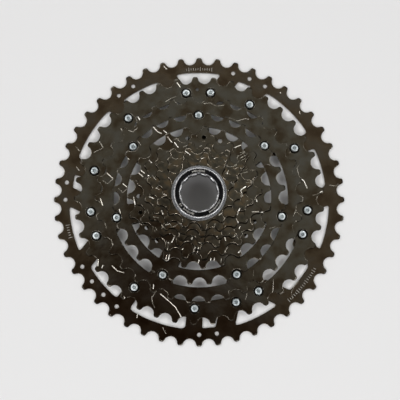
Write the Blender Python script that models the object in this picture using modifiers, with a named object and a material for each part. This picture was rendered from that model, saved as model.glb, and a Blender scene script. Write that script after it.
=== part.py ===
"""Ten-speed bicycle cassette.

The three largest sprockets are one riveted unit. Seven loose sprockets, parted by
spacers, slide onto the same splines in front of it, and a lockring closes the stack.
The axis is +Z, z = 0 is the back of the largest sprocket, and +Z runs to the lockring.
"""

import math

import bmesh
import bpy
from mathutils import Vector

# Chain and tooth form, in metres
CHAIN_PITCH = 0.0127
ROOT_DEPTH = 0.00395
ROLLER_SEAT_RADIUS = 0.0045
TOOTH_HEIGHT = 0.0049
TOOTH_TIP_WIDTH = 0.0026
SEAT_SWEEP = math.radians(78)
SEAT_POINTS = 7

# Stack along the axis
SPROCKET_SPACING = 0.00395
PLATE_THICKNESS = 0.0018
SEAT_GAP = 0.0002
SPLINE_STACK_LENGTH = 0.03595

# Tooth counts from the wheel side outwards, each with the angle of one tooth in degrees
SPROCKETS = (
    (48, 0.0),
    (41, 4.1),
    (34, 10.3),
    (28, 6.75),
    (23, 7.1),
    (20, 4.9),
    (17, 14.3),
    (15, 8.0),
    (13, 25.4),
    (11, 16.5),
)
RIVETED_COUNT = 3
BOSSED_COUNT = 2

# Spline bore that slides on the freehub: nine grooves, one of them wide
SPLINE_COUNT = 9
SPLINE_MINOR_RADIUS = 0.0160
SPLINE_MAJOR_RADIUS = 0.0172
GROOVE_HALF_ANGLE = 11.0
WIDE_GROOVE_HALF_ANGLE = 14.0
SPACER_CLEARANCE = 0.0004
SPACER_WALL = 0.0035
BOSS_WALL = 0.0011

# Seven stations round the axis carry the arms, tabs and rivets of the riveted unit
STATION_COUNT = 7
STATION_PITCH = 360.0 / STATION_COUNT
FIRST_STATION = 90.4
FLARED_STATIONS = (0, 2, 4, 5)
FLARED_RIVETS = (-6.5, 6.5)
STRAIGHT_RIVETS = (-10.8, 23.0)

# Largest sprocket: a toothed rim with inward tabs
RIM_WIDTH_IN_FLARED_PAIR = 0.0055
RIM_WIDTH_IN_STRAIGHT_PAIR = 0.0063
RIM_WIDTH_BETWEEN_STATIONS = 0.0073
FLARED_TAB_RIM_ANGLES = (10.2, 18.8)
FLARED_TAB_END_ANGLES = (1.8, 13.5)
STRAIGHT_TAB_RIM_HALF_ANGLE = 3.8
STRAIGHT_TAB_END_HALF_ANGLE = 4.3
RIM_HOLE_RADIUS = 0.0014
RIM_HOLE_INSET = 0.00285
LARGEST_HOLED_TEETH = (8, 9, 10, 16, 17, 23, 24, 28, 29, 30, 31, 36, 37)

# Second sprocket: a toothed ring with seven inward tabs, one width for each gap
RING_WIDTHS = (0.0112, 0.0130, 0.0155, 0.0110, 0.0080, 0.0155, 0.0107)
RING_WINDOW_HALF_ANGLE = 14.5
INDEX_HOLE_RADIUS = 0.0011
INDEX_HOLE_INSET = 0.0040
INDEX_HOLE_ANGLE = 91.0
RING_TAB_END_HALF_ANGLE = 5.5

# Third and fourth sprockets: seven arms from a splined hub, one rim width for each gap
THIRD_RIM_WIDTHS = (0.0079, 0.0079, 0.0056, 0.0058, 0.0079, 0.0056, 0.0079)
THIRD_HUB_RADIUS = 0.0400
THIRD_ARM_HALF_WIDTH = 0.0070
FOURTH_RIM_WIDTH = 0.0050
FOURTH_HUB_RADIUS = 0.0310
FOURTH_ARM_HALF_WIDTH = 0.0064

# Fifth sprocket: round holes under some of its teeth
FIFTH_HOLED_TEETH = (4, 5, 6, 9, 11, 12, 13, 14, 20, 21)

# Rivets: tail in the back plate, shoulder between the plates, head on the front plate
OUTER_RIVET_INSET = 0.0060
INNER_RIVET_INSET = 0.0086
TAB_END_MARGIN = 0.0036
RIVET_TAIL_RADIUS = 0.0024
RIVET_SHOULDER_RADIUS = 0.0033
RIVET_SHANK_RADIUS = 0.0016
RIVET_HEAD_RADIUS = 0.0024
RIVET_HEAD_HEIGHT = 0.0006
RIVET_SIDES = 8

# Lockring and its washer
WASHER_RADIUS = 0.0176
WASHER_THICKNESS = 0.0008
LOCKRING_FLANGE_RADIUS = 0.0172
LOCKRING_FLANGE_THICKNESS = 0.0026
LOCKRING_SLEEVE_RADIUS = 0.0153
LOCKRING_SLEEVE_LENGTH = 0.0065
LOCKRING_BORE_RADIUS = 0.0115
LOCKRING_RECESS_DEPTH = 0.0005
LOCKRING_RIM_WIDTH = 0.0019
LOCKRING_LIP_WIDTH = 0.0011
LOCKRING_CHAMFER = 0.0009
TOOL_SLOT_COUNT = 12
TOOL_SLOT_DEPTH = 0.0007
TOOL_SLOT_WIDTH = 0.0030

# Rounding and facet counts
WINDOW_CORNER_RADIUS = 0.0030
TAB_CORNER_RADIUS = 0.0032
CORNER_SEGMENTS = 2
ARC_STEP = 9.0
HOLE_SIDES = 6
RIVET_HOLE_SIDES = 8
RING_SIDES = 28
CUTTER_OVERLAP = 0.0010
MERGE_DISTANCE = 0.00001

# Finishes: colour, roughness and metallic value
BLACK_NICKEL = ("black_nickel", (0.050, 0.044, 0.036), 0.30, 1.0)
ZINC = ("zinc_plated", (0.62, 0.66, 0.68), 0.35, 1.0)
SATIN_ALLOY = ("satin_alloy", (0.66, 0.67, 0.68), 0.28, 1.0)
BLACK_ALLOY = ("black_alloy", (0.035, 0.035, 0.037), 0.45, 0.8)


def polar(radius, degrees):
    """A point of the sprocket plane."""
    angle = math.radians(degrees)
    return Vector((radius * math.cos(angle), radius * math.sin(angle)))


def pitch_radius(teeth):
    return CHAIN_PITCH / (2 * math.sin(math.pi / teeth))


def root_radius(teeth):
    return pitch_radius(teeth) - ROOT_DEPTH


def plate_base(index):
    """Height of the back face of the sprocket at this place in the stack."""
    return index * SPROCKET_SPACING


def station_angle(station):
    return FIRST_STATION + station * STATION_PITCH


def circle(radius, sides, centre=(0.0, 0.0)):
    return [Vector(centre) + polar(radius, 360.0 * i / sides) for i in range(sides)]


def arc(radius, start, end):
    """Points strictly between two angles, close enough together to read as round."""
    count = max(1, math.ceil((end - start) / ARC_STEP))
    return [polar(radius, start + (end - start) * i / count) for i in range(1, count)]


def rounded(corners):
    """A closed outline from (point, fillet radius) pairs, with each fillet kept inside its edges."""
    outline = []
    for i, (point, radius) in enumerate(corners):
        if radius == 0:
            outline.append(point)
            continue
        back = corners[i - 1][0] - point
        ahead = corners[(i + 1) % len(corners)][0] - point
        half_turn = back.angle(ahead) / 2
        reach = min(radius / math.tan(half_turn), 0.45 * back.length, 0.45 * ahead.length)
        start = point + back.normalized() * reach
        end = point + ahead.normalized() * reach
        for step in range(CORNER_SEGMENTS + 1):
            t = step / CORNER_SEGMENTS
            outline.append(start.lerp(point, t).lerp(point.lerp(end, t), t))
    return outline


def toothed_outline(teeth, first_tooth):
    """Round roller seats on the root circle, joined by short flanks to narrow flat tips."""
    step = 360.0 / teeth
    seat_circle = root_radius(teeth) + ROLLER_SEAT_RADIUS
    tip_circle = root_radius(teeth) + TOOTH_HEIGHT
    tip_half_angle = math.degrees(TOOTH_TIP_WIDTH / 2 / tip_circle)
    outline = []
    for tooth in range(teeth):
        tip = first_tooth + tooth * step
        outline += [polar(tip_circle, tip - tip_half_angle), polar(tip_circle, tip + tip_half_angle)]
        seat = tip + step / 2
        for point in range(SEAT_POINTS):
            swing = SEAT_SWEEP * (1 - 2 * point / (SEAT_POINTS - 1))
            inward = seat + 180.0 + math.degrees(swing)
            outline.append(polar(seat_circle, seat) + polar(ROLLER_SEAT_RADIUS, inward))
    return outline


def spline_outline():
    """The splined bore: lands at the minor radius and grooves at the major radius."""
    step = 360.0 / SPLINE_COUNT
    outline = []
    for groove in range(SPLINE_COUNT):
        centre = FIRST_STATION + groove * step
        half = WIDE_GROOVE_HALF_ANGLE if groove == 0 else GROOVE_HALF_ANGLE
        outline.append(polar(SPLINE_MINOR_RADIUS, centre - half))
        outline += [polar(SPLINE_MAJOR_RADIUS, centre + side * half) for side in (-1, 1)]
        outline.append(polar(SPLINE_MINOR_RADIUS, centre + half))
    return outline


def tooth_holes(teeth, first_tooth, holed):
    """Round holes, each centred under one tooth."""
    ring = root_radius(teeth) - RIM_HOLE_INSET
    return [
        circle(RIM_HOLE_RADIUS, HOLE_SIDES, polar(ring, first_tooth + tooth * 360.0 / teeth))
        for tooth in holed
    ]


def outer_rivet_circle():
    return root_radius(SPROCKETS[1][0]) - OUTER_RIVET_INSET


def inner_rivet_circle():
    return root_radius(SPROCKETS[2][0]) - INNER_RIVET_INSET


def outer_rivet_angles():
    angles = []
    for station in range(STATION_COUNT):
        pair = FLARED_RIVETS if station in FLARED_STATIONS else STRAIGHT_RIVETS
        angles += [station_angle(station) + offset for offset in pair]
    return angles


def inner_rivet_angles():
    return [station_angle(station) for station in range(STATION_COUNT)]


def rivet_holes(ring, angles, radius):
    return [circle(radius, RIVET_HOLE_SIDES, polar(ring, angle)) for angle in angles]


def largest_tabs():
    """The inward tabs of the largest sprocket in angular order.

    Each is (start and end angle at the rim, start and end angle at its inner end, rim width after it).
    """
    tabs = []
    for station in range(STATION_COUNT):
        middle = station_angle(station)
        if station in FLARED_STATIONS:
            near_rim, far_rim = FLARED_TAB_RIM_ANGLES
            near_end, far_end = FLARED_TAB_END_ANGLES
            first = (middle - far_rim, middle - near_rim, middle - far_end, middle - near_end)
            second = (middle + near_rim, middle + far_rim, middle + near_end, middle + far_end)
            rim_inside_pair = RIM_WIDTH_IN_FLARED_PAIR
        else:
            first, second = (
                (
                    middle + offset - STRAIGHT_TAB_RIM_HALF_ANGLE,
                    middle + offset + STRAIGHT_TAB_RIM_HALF_ANGLE,
                    middle + offset - STRAIGHT_TAB_END_HALF_ANGLE,
                    middle + offset + STRAIGHT_TAB_END_HALF_ANGLE,
                )
                for offset in STRAIGHT_RIVETS
            )
            rim_inside_pair = RIM_WIDTH_IN_STRAIGHT_PAIR
        tabs += [(first, rim_inside_pair), (second, RIM_WIDTH_BETWEEN_STATIONS)]
    return tabs


def largest_inner_outline():
    """Inner edge of the largest sprocket: rim arcs broken by the tabs that carry the outer rivets."""
    root = root_radius(SPROCKETS[0][0])
    tab_end = outer_rivet_circle() - TAB_END_MARGIN
    tabs = largest_tabs()
    corners = []
    for i, ((rim_start, rim_end, end_start, end_end), width_after) in enumerate(tabs):
        width_before = tabs[i - 1][1]
        corners.append((polar(root - width_before, rim_start), WINDOW_CORNER_RADIUS))
        corners.append((polar(tab_end, end_start), TAB_CORNER_RADIUS))
        corners.append((polar(tab_end, end_end), TAB_CORNER_RADIUS))
        corners.append((polar(root - width_after, rim_end), WINDOW_CORNER_RADIUS))
        next_start = tabs[(i + 1) % len(tabs)][0][0]
        if next_start < rim_end:
            next_start += 360.0
        corners += [(point, 0) for point in arc(root - width_after, rim_end, next_start)]
    return rounded(corners)


def second_inner_outline():
    """Inner edge of the second sprocket: seven tabs that carry the inner rivets."""
    root = root_radius(SPROCKETS[1][0])
    tab_end = inner_rivet_circle() - TAB_END_MARGIN
    corners = []
    for station, width in enumerate(RING_WIDTHS):
        here = station_angle(station)
        middle = here + STATION_PITCH / 2
        start, end = middle - RING_WINDOW_HALF_ANGLE, middle + RING_WINDOW_HALF_ANGLE
        corners.append((polar(tab_end, here - RING_TAB_END_HALF_ANGLE), TAB_CORNER_RADIUS))
        corners.append((polar(tab_end, here + RING_TAB_END_HALF_ANGLE), TAB_CORNER_RADIUS))
        corners.append((polar(root - width, start), WINDOW_CORNER_RADIUS))
        corners += [(point, 0) for point in arc(root - width, start, end)]
        corners.append((polar(root - width, end), WINDOW_CORNER_RADIUS))
    return rounded(corners)


def arm_windows(outer_radii, hub_radius, arm_half_width):
    """One window between each two arms, with sides parallel to the arms."""
    windows = []
    for station, outer_radius in enumerate(outer_radii):
        middle = station_angle(station) + STATION_PITCH / 2
        outer_half = STATION_PITCH / 2 - math.degrees(math.asin(arm_half_width / outer_radius))
        hub_half = STATION_PITCH / 2 - math.degrees(math.asin(arm_half_width / hub_radius))
        corners = [(polar(hub_radius, middle + hub_half), WINDOW_CORNER_RADIUS)]
        hub_arc = arc(hub_radius, middle - hub_half, middle + hub_half)
        corners += [(point, 0) for point in reversed(hub_arc)]
        corners.append((polar(hub_radius, middle - hub_half), WINDOW_CORNER_RADIUS))
        corners.append((polar(outer_radius, middle - outer_half), WINDOW_CORNER_RADIUS))
        rim_arc = arc(outer_radius, middle - outer_half, middle + outer_half)
        corners += [(point, 0) for point in rim_arc]
        corners.append((polar(outer_radius, middle + outer_half), WINDOW_CORNER_RADIUS))
        windows.append(rounded(corners))
    return windows


def finish(values):
    """A Principled material, made once for each finish."""
    name, colour, roughness, metallic = values
    material = bpy.data.materials.get(name)
    if material is None:
        material = bpy.data.materials.new(name)
        material.use_nodes = True
        shader = material.node_tree.nodes["Principled BSDF"]
        shader.inputs["Base Color"].default_value = (*colour, 1.0)
        shader.inputs["Roughness"].default_value = roughness
        shader.inputs["Metallic"].default_value = metallic
    return material


def placed(name, data, collection, axis_empty, material_values):
    """A named object on the axis, in its collection and with its material."""
    piece = bpy.data.objects.new(name, data)
    collection.objects.link(piece)
    piece.parent = axis_empty
    data.materials.append(finish(material_values))
    return piece


def plate_curve(name, outlines, thickness):
    """A flat plate as a filled 2D curve: the first outline is its edge, the others are holes."""
    data = bpy.data.curves.new(name, "CURVE")
    data.dimensions = "2D"
    data.fill_mode = "BOTH"
    data.extrude = thickness / 2
    for outline in outlines:
        spline = data.splines.new("POLY")
        spline.points.add(len(outline) - 1)
        for point, place in zip(spline.points, outline):
            point.co = (place.x, place.y, 0.0, 1.0)
        spline.use_cyclic_u = True
    return data


def as_mesh(name, curve):
    """The plate's curve as a closed mesh, for a piece that a Boolean joins."""
    helper = bpy.data.objects.new(name + "_outline", curve)
    bpy.context.scene.collection.objects.link(helper)
    graph = bpy.context.evaluated_depsgraph_get()
    mesh = bpy.data.meshes.new_from_object(helper.evaluated_get(graph))
    mesh.name = name
    bpy.data.objects.remove(helper)
    weld(mesh)
    return mesh


def weld(mesh):
    """Joins the loose caps of a filled curve to its walls."""
    cage = bmesh.new()
    cage.from_mesh(mesh)
    bmesh.ops.remove_doubles(cage, verts=cage.verts, dist=MERGE_DISTANCE)
    cage.to_mesh(mesh)
    cage.free()


def turned(name, profile):
    """A mesh of a profile in the XZ plane, ready for a Screw modifier about Z."""
    mesh = bpy.data.meshes.new(name)
    edges = [(i, i + 1) for i in range(len(profile) - 1)]
    if profile[0].x > MERGE_DISTANCE:
        edges.append((len(profile) - 1, 0))
    mesh.from_pydata([(p.x, 0.0, p.y) for p in profile], edges, [])
    return mesh


def add_screw(piece, sides):
    screw = piece.modifiers.new("turn", "SCREW")
    screw.steps = sides
    screw.render_steps = sides
    screw.use_merge_vertices = True
    screw.merge_threshold = MERGE_DISTANCE
    screw.use_smooth_shade = True


def add_boolean(piece, other, operation):
    modifier = piece.modifiers.new(operation.lower(), "BOOLEAN")
    modifier.operation = operation
    modifier.object = other


def as_cutter(piece):
    piece.hide_render = True
    piece.display_type = "WIRE"


def sprocket_outlines(index):
    """The edge and holes of the sprocket at this place in the stack."""
    teeth, first_tooth = SPROCKETS[index]
    root = root_radius(teeth)
    tail_hole = RIVET_TAIL_RADIUS + SEAT_GAP
    shank_hole = RIVET_SHANK_RADIUS + SEAT_GAP
    outer_ring, outer_angles = outer_rivet_circle(), outer_rivet_angles()
    inner_ring, inner_angles = inner_rivet_circle(), inner_rivet_angles()
    outlines = [toothed_outline(teeth, first_tooth)]
    if index == 0:
        outlines.append(largest_inner_outline())
        outlines += rivet_holes(outer_ring, outer_angles, tail_hole)
        outlines += tooth_holes(teeth, first_tooth, LARGEST_HOLED_TEETH)
    elif index == 1:
        outlines.append(second_inner_outline())
        outlines += rivet_holes(outer_ring, outer_angles, shank_hole)
        outlines += rivet_holes(inner_ring, inner_angles, tail_hole)
        outlines.append(circle(INDEX_HOLE_RADIUS, HOLE_SIDES, polar(root - INDEX_HOLE_INSET, INDEX_HOLE_ANGLE)))
    else:
        outlines.append(spline_outline())
    if index == 2:
        radii = [root - width for width in THIRD_RIM_WIDTHS]
        outlines += arm_windows(radii, THIRD_HUB_RADIUS, THIRD_ARM_HALF_WIDTH)
        outlines += rivet_holes(inner_ring, inner_angles, shank_hole)
    elif index == 3:
        radii = [root - FOURTH_RIM_WIDTH] * STATION_COUNT
        outlines += arm_windows(radii, FOURTH_HUB_RADIUS, FOURTH_ARM_HALF_WIDTH)
    elif index == 4:
        outlines += tooth_holes(teeth, first_tooth, FIFTH_HOLED_TEETH)
    return outlines


def add_sprockets(parts, cutters, axis_empty):
    """All ten sprockets; the smallest ones carry their spacer as a boss on the back."""
    for index, (teeth, _) in enumerate(SPROCKETS):
        name = f"sprocket_{teeth}t"
        curve = plate_curve(name, sprocket_outlines(index), PLATE_THICKNESS)
        height = plate_base(index) + PLATE_THICKNESS / 2
        if index < len(SPROCKETS) - BOSSED_COUNT:
            piece = placed(name, curve, parts, axis_empty, BLACK_NICKEL)
            piece.location.z = height
            continue
        piece = placed(name, as_mesh(name, curve), parts, axis_empty, BLACK_NICKEL)
        piece.location.z = height
        boss_length = SPROCKET_SPACING - PLATE_THICKNESS - SEAT_GAP + PLATE_THICKNESS / 2
        boss_edge = circle(SPLINE_MAJOR_RADIUS + BOSS_WALL, RING_SIDES)
        boss_curve = plate_curve(name + "_boss", [boss_edge, spline_outline()], boss_length)
        boss = placed(name + "_boss", as_mesh(name + "_boss", boss_curve), cutters, axis_empty, BLACK_NICKEL)
        boss.location.z = height - boss_length / 2
        as_cutter(boss)
        add_boolean(piece, boss, "UNION")


def add_spacers(parts, axis_empty):
    """Rings that part the loose sprockets, and a longer one between the unit and the freehub shoulder."""
    bore = SPLINE_MAJOR_RADIUS + SPACER_CLEARANCE
    ring = [circle(bore + SPACER_WALL, RING_SIDES), circle(bore, RING_SIDES)]
    thickness = SPROCKET_SPACING - PLATE_THICKNESS - 2 * SEAT_GAP
    for index in range(RIVETED_COUNT, len(SPROCKETS) - BOSSED_COUNT):
        name = f"spacer_behind_{SPROCKETS[index][0]}t"
        piece = placed(name, plate_curve(name, ring, thickness), parts, axis_empty, BLACK_ALLOY)
        piece.location.z = plate_base(index) - SEAT_GAP - thickness / 2
    front = plate_base(len(SPROCKETS) - 1) + PLATE_THICKNESS
    seat = front - SPLINE_STACK_LENGTH
    length = plate_base(RIVETED_COUNT - 1) - SEAT_GAP - seat
    hub = placed("hub_spacer", plate_curve("hub_spacer", ring, length), parts, axis_empty, BLACK_ALLOY)
    hub.location.z = seat + length / 2


def rivet_profile():
    """Half section of one rivet, with z = 0 at the back face of its back plate."""
    tail_end = SEAT_GAP / 2
    shoulder_start = PLATE_THICKNESS + SEAT_GAP
    shoulder_end = SPROCKET_SPACING - SEAT_GAP
    head_start = SPROCKET_SPACING + PLATE_THICKNESS + SEAT_GAP
    head_end = head_start + RIVET_HEAD_HEIGHT
    steps = (
        (0.0, head_end),
        (RIVET_HEAD_RADIUS, head_end),
        (RIVET_HEAD_RADIUS, head_start),
        (RIVET_SHANK_RADIUS, head_start),
        (RIVET_SHANK_RADIUS, shoulder_end),
        (RIVET_SHOULDER_RADIUS, shoulder_end),
        (RIVET_SHOULDER_RADIUS, shoulder_start),
        (RIVET_TAIL_RADIUS, shoulder_start),
        (RIVET_TAIL_RADIUS, tail_end),
        (0.0, tail_end),
    )
    return [Vector(step) for step in steps]


def add_rivets(parts, axis_empty):
    """Fourteen rivets hold the largest sprocket to the second, and seven hold the second to the third."""
    mesh = turned("rivet", rivet_profile())
    groups = (
        ("outer_rivet", outer_rivet_circle(), outer_rivet_angles(), plate_base(0)),
        ("inner_rivet", inner_rivet_circle(), inner_rivet_angles(), plate_base(1)),
    )
    for label, ring, angles, base in groups:
        for number, angle in enumerate(angles, start=1):
            piece = bpy.data.objects.new(f"{label}_{number:02d}", mesh)
            parts.objects.link(piece)
            piece.parent = axis_empty
            piece.location = (*polar(ring, angle), base)
            add_screw(piece, RIVET_SIDES)
    mesh.materials.append(finish(ZINC))


def lockring_profile(flange_base):
    """Half section of the lockring: a flange with a recessed face, and the sleeve that takes the thread."""
    top = flange_base + LOCKRING_FLANGE_THICKNESS
    sleeve_end = flange_base - LOCKRING_SLEEVE_LENGTH
    floor = top - LOCKRING_RECESS_DEPTH
    lip = LOCKRING_BORE_RADIUS + LOCKRING_LIP_WIDTH
    rim = LOCKRING_FLANGE_RADIUS - LOCKRING_RIM_WIDTH
    steps = (
        (LOCKRING_FLANGE_RADIUS - LOCKRING_CHAMFER, top),
        (LOCKRING_FLANGE_RADIUS, top - LOCKRING_CHAMFER),
        (LOCKRING_FLANGE_RADIUS, flange_base),
        (LOCKRING_SLEEVE_RADIUS, flange_base),
        (LOCKRING_SLEEVE_RADIUS, sleeve_end + LOCKRING_CHAMFER),
        (LOCKRING_SLEEVE_RADIUS - LOCKRING_CHAMFER, sleeve_end),
        (LOCKRING_BORE_RADIUS, sleeve_end),
        (LOCKRING_BORE_RADIUS, top),
        (lip, top),
        (lip, floor),
        (rim, floor),
        (rim, top),
    )
    return [Vector(step) for step in steps]


def add_lockring(parts, cutters, axis_empty):
    """The lockring with its tool slots, and the washer under its flange."""
    washer_base = plate_base(len(SPROCKETS) - 1) + PLATE_THICKNESS + SEAT_GAP
    washer_bore = LOCKRING_SLEEVE_RADIUS + SPACER_CLEARANCE
    rings = [circle(WASHER_RADIUS, RING_SIDES), circle(washer_bore, RING_SIDES)]
    washer_curve = plate_curve("lockring_washer", rings, WASHER_THICKNESS)
    washer = placed("lockring_washer", washer_curve, parts, axis_empty, SATIN_ALLOY)
    washer.location.z = washer_base + WASHER_THICKNESS / 2
    flange_base = washer_base + WASHER_THICKNESS + SEAT_GAP
    body = turned("lockring", lockring_profile(flange_base))
    lockring = placed("lockring", body, parts, axis_empty, SATIN_ALLOY)
    add_screw(lockring, RING_SIDES)
    length = LOCKRING_SLEEVE_LENGTH + LOCKRING_FLANGE_THICKNESS + 2 * CUTTER_OVERLAP
    middle = flange_base + (LOCKRING_FLANGE_THICKNESS - LOCKRING_SLEEVE_LENGTH) / 2
    outer = LOCKRING_BORE_RADIUS + TOOL_SLOT_DEPTH
    inner = LOCKRING_BORE_RADIUS - CUTTER_OVERLAP
    for slot in range(TOOL_SLOT_COUNT):
        angle = 2 * math.pi * slot / TOOL_SLOT_COUNT
        bpy.ops.mesh.primitive_cube_add(size=1)
        cutter = bpy.context.active_object
        cutter.name = f"tool_slot_{slot + 1:02d}"
        cutter.dimensions = (outer - inner, TOOL_SLOT_WIDTH, length)
        cutter.location = (*((outer + inner) / 2 * Vector((math.cos(angle), math.sin(angle)))), middle)
        cutter.rotation_euler.z = angle
        for owner in tuple(cutter.users_collection):
            owner.objects.unlink(cutter)
        cutters.objects.link(cutter)
        as_cutter(cutter)
        add_boolean(lockring, cutter, "DIFFERENCE")


def new_collection(name):
    collection = bpy.data.collections.new(name)
    bpy.context.scene.collection.children.link(collection)
    return collection


def main():
    for old in tuple(bpy.data.objects):
        bpy.data.objects.remove(old)
    parts = new_collection("cassette")
    cutters = new_collection("cassette_cutters")
    axis_empty = bpy.data.objects.new("cassette_axis", None)
    parts.objects.link(axis_empty)
    add_sprockets(parts, cutters, axis_empty)
    add_spacers(parts, axis_empty)
    add_rivets(parts, axis_empty)
    add_lockring(parts, cutters, axis_empty)


main()
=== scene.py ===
"""Dresses the ten-speed cassette.

Models the toothed plates, rivets, spacers, washer and lockring, gives them their finishes and sets the light.
"""

import logging
import math
from dataclasses import dataclass, field, replace
from enum import Enum
from typing import Iterable, Optional, Sequence

import bpy
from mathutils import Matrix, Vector


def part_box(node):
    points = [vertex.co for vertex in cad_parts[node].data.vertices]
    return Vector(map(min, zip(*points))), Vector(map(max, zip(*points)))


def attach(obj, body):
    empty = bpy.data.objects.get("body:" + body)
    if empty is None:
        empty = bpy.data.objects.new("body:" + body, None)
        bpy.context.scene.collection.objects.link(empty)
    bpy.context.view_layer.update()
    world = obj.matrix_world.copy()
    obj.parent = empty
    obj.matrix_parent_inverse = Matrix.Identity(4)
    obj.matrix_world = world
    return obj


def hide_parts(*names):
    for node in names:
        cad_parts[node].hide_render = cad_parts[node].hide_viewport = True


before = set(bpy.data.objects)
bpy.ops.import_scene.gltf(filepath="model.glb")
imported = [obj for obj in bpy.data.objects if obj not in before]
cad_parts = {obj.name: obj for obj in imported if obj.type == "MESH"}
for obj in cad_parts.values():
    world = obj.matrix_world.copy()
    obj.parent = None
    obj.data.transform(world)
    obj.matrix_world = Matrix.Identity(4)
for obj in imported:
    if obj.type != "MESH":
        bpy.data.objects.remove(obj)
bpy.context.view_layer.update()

LOG = logging.getLogger("cassette")
MM = 0.001
MERGE_DISTANCE = 0.00002
CUT_MARGIN = 0.001
SHALLOW_MARGIN = 0.00002
FLAT_ANGLE = 0.2
WEDGE_PHASE = 0.43
PLATE_WEDGES = 36
PLATE_THICKNESS = 0.0018
PLATE_SPACING = 0.00395

Polar = tuple[float, float]
Colour = tuple[float, float, float]
PlaceIndex = dict[tuple[float, ...], int]
TickRows = tuple[tuple[float, float, int], ...]


class Body(Enum):
    """The rigid bodies that pieces ride on."""

    UNIT = "riveted_unit"
    LOOSE_28 = "loose_28t"
    LOOSE_23 = "loose_23t"
    LOOSE_20 = "loose_20t"
    LOOSE_17 = "loose_17t"
    LOOSE_15 = "loose_15t"
    LOOSE_13 = "loose_13t"
    LOOSE_11 = "loose_11t"
    WASHER = "washer"
    LOCKRING = "lockring"


class Slot(Enum):
    """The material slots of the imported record."""

    SPROCKET = "sprocket_steel"
    RIVET = "rivet_steel"
    LOCKRING = "lockring_alloy"
    SPACER = "spacer_alloy"


class Cut(Enum):
    """Boolean operations by their modifier names."""

    TAKE_AWAY = "DIFFERENCE"
    ADD = "UNION"


class PlateSlot(Enum):
    """The finishes of a sprocket by their slots in the mesh; the edge, step and shade slots hold painted
    glints, highlights and shade.
    """

    FACE = 0
    EDGE = 1
    PAINTED_DIM_HIGHLIGHT = 2
    PAINTED_BRIGHT_HIGHLIGHT = 3
    RECESS = 4


class Grain(Enum):
    """The fine relief of a finish."""

    STAMPED = "stamped"
    TURNED = "turned"


def polar(radius: float, degrees: float) -> Vector:
    """A point of the sprocket plane.

    Args:
        radius: Distance from the axis in metres.
        degrees: Angle from +X towards +Y.

    Returns:
        The point, with two coordinates.
    """
    angle = math.radians(degrees)
    return Vector((radius * math.cos(angle), radius * math.sin(angle)))


def arc(radius: float, start: float, end: float, step: float = 1.5) -> list[Vector]:
    """Points along a circle between two angles, ends included.

    Args:
        radius: Radius in metres.
        start: First angle in degrees.
        end: Last angle in degrees.
        step: Largest angle between two points, in degrees.

    Returns:
        The points in order.
    """
    count = max(1, math.ceil(abs(end - start) / step))
    return [polar(radius, start + (end - start) * i / count) for i in range(count + 1)]


def circle(radius: float, sides: int, centre: Vector = Vector((0.0, 0.0))) -> list[Vector]:
    """A closed ring of points.

    Args:
        radius: Radius in metres.
        sides: Number of points.
        centre: Centre of the ring.

    Returns:
        The points in order.
    """
    return [centre + polar(radius, 360.0 * i / sides) for i in range(sides)]


def rounded(corners: Sequence[tuple[Vector, float]], segments: int = 6) -> list[Vector]:
    """A closed outline with filleted corners.

    Args:
        corners: Corner points, each with its fillet radius; 0 keeps the point as it is.
        segments: Steps along each fillet.

    Returns:
        The outline's points in order.
    """
    outline: list[Vector] = []
    for i, (point, radius) in enumerate(corners):
        if radius == 0:
            outline.append(point)
            continue
        back = corners[i - 1][0] - point
        ahead = corners[(i + 1) % len(corners)][0] - point
        half_turn = back.angle(ahead) / 2
        reach = min(radius / math.tan(half_turn), 0.45 * back.length, 0.45 * ahead.length)
        start = point + back.normalized() * reach
        end = point + ahead.normalized() * reach
        for step in range(segments + 1):
            t = step / segments
            outline.append(start.lerp(point, t).lerp(point.lerp(end, t), t))
    return outline


def ribbon(path: Sequence[Polar], width: float) -> list[Vector]:
    """The outline of a narrow band along a bent path.

    Args:
        path: Points as (degrees, millimetres from the axis).
        width: Width of the band in metres.

    Returns:
        The outline's points in order.
    """
    points = [polar(radius * MM, degrees) for degrees, radius in path]
    left: list[Vector] = []
    right: list[Vector] = []
    for i, point in enumerate(points):
        ahead = points[min(i + 1, len(points) - 1)]
        back = points[max(i - 1, 0)]
        along = (ahead - back).normalized()
        side = Vector((-along.y, along.x)) * width / 2
        left.append(point + side)
        right.append(point - side)
    return right + left[::-1]


def select_only(piece: Optional[bpy.types.Object]) -> None:
    """Leaves one object, or none, selected and active.

    Args:
        piece: The object to select.
    """
    if bpy.context.object and bpy.context.object.mode != "OBJECT":
        bpy.ops.object.mode_set(mode="OBJECT")
    bpy.ops.object.select_all(action="DESELECT")
    if piece is not None:
        piece.select_set(True)
        bpy.context.view_layer.objects.active = piece


def face_outwards(piece: bpy.types.Object) -> None:
    """Merges doubles and turns every face of a closed mesh outwards.

    Args:
        piece: The mesh object to mend.
    """
    select_only(piece)
    bpy.ops.object.mode_set(mode="EDIT")
    bpy.ops.mesh.select_all(action="SELECT")
    bpy.ops.mesh.remove_doubles(threshold=MERGE_DISTANCE)
    bpy.ops.mesh.normals_make_consistent(inside=False)
    bpy.ops.object.mode_set(mode="OBJECT")


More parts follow.
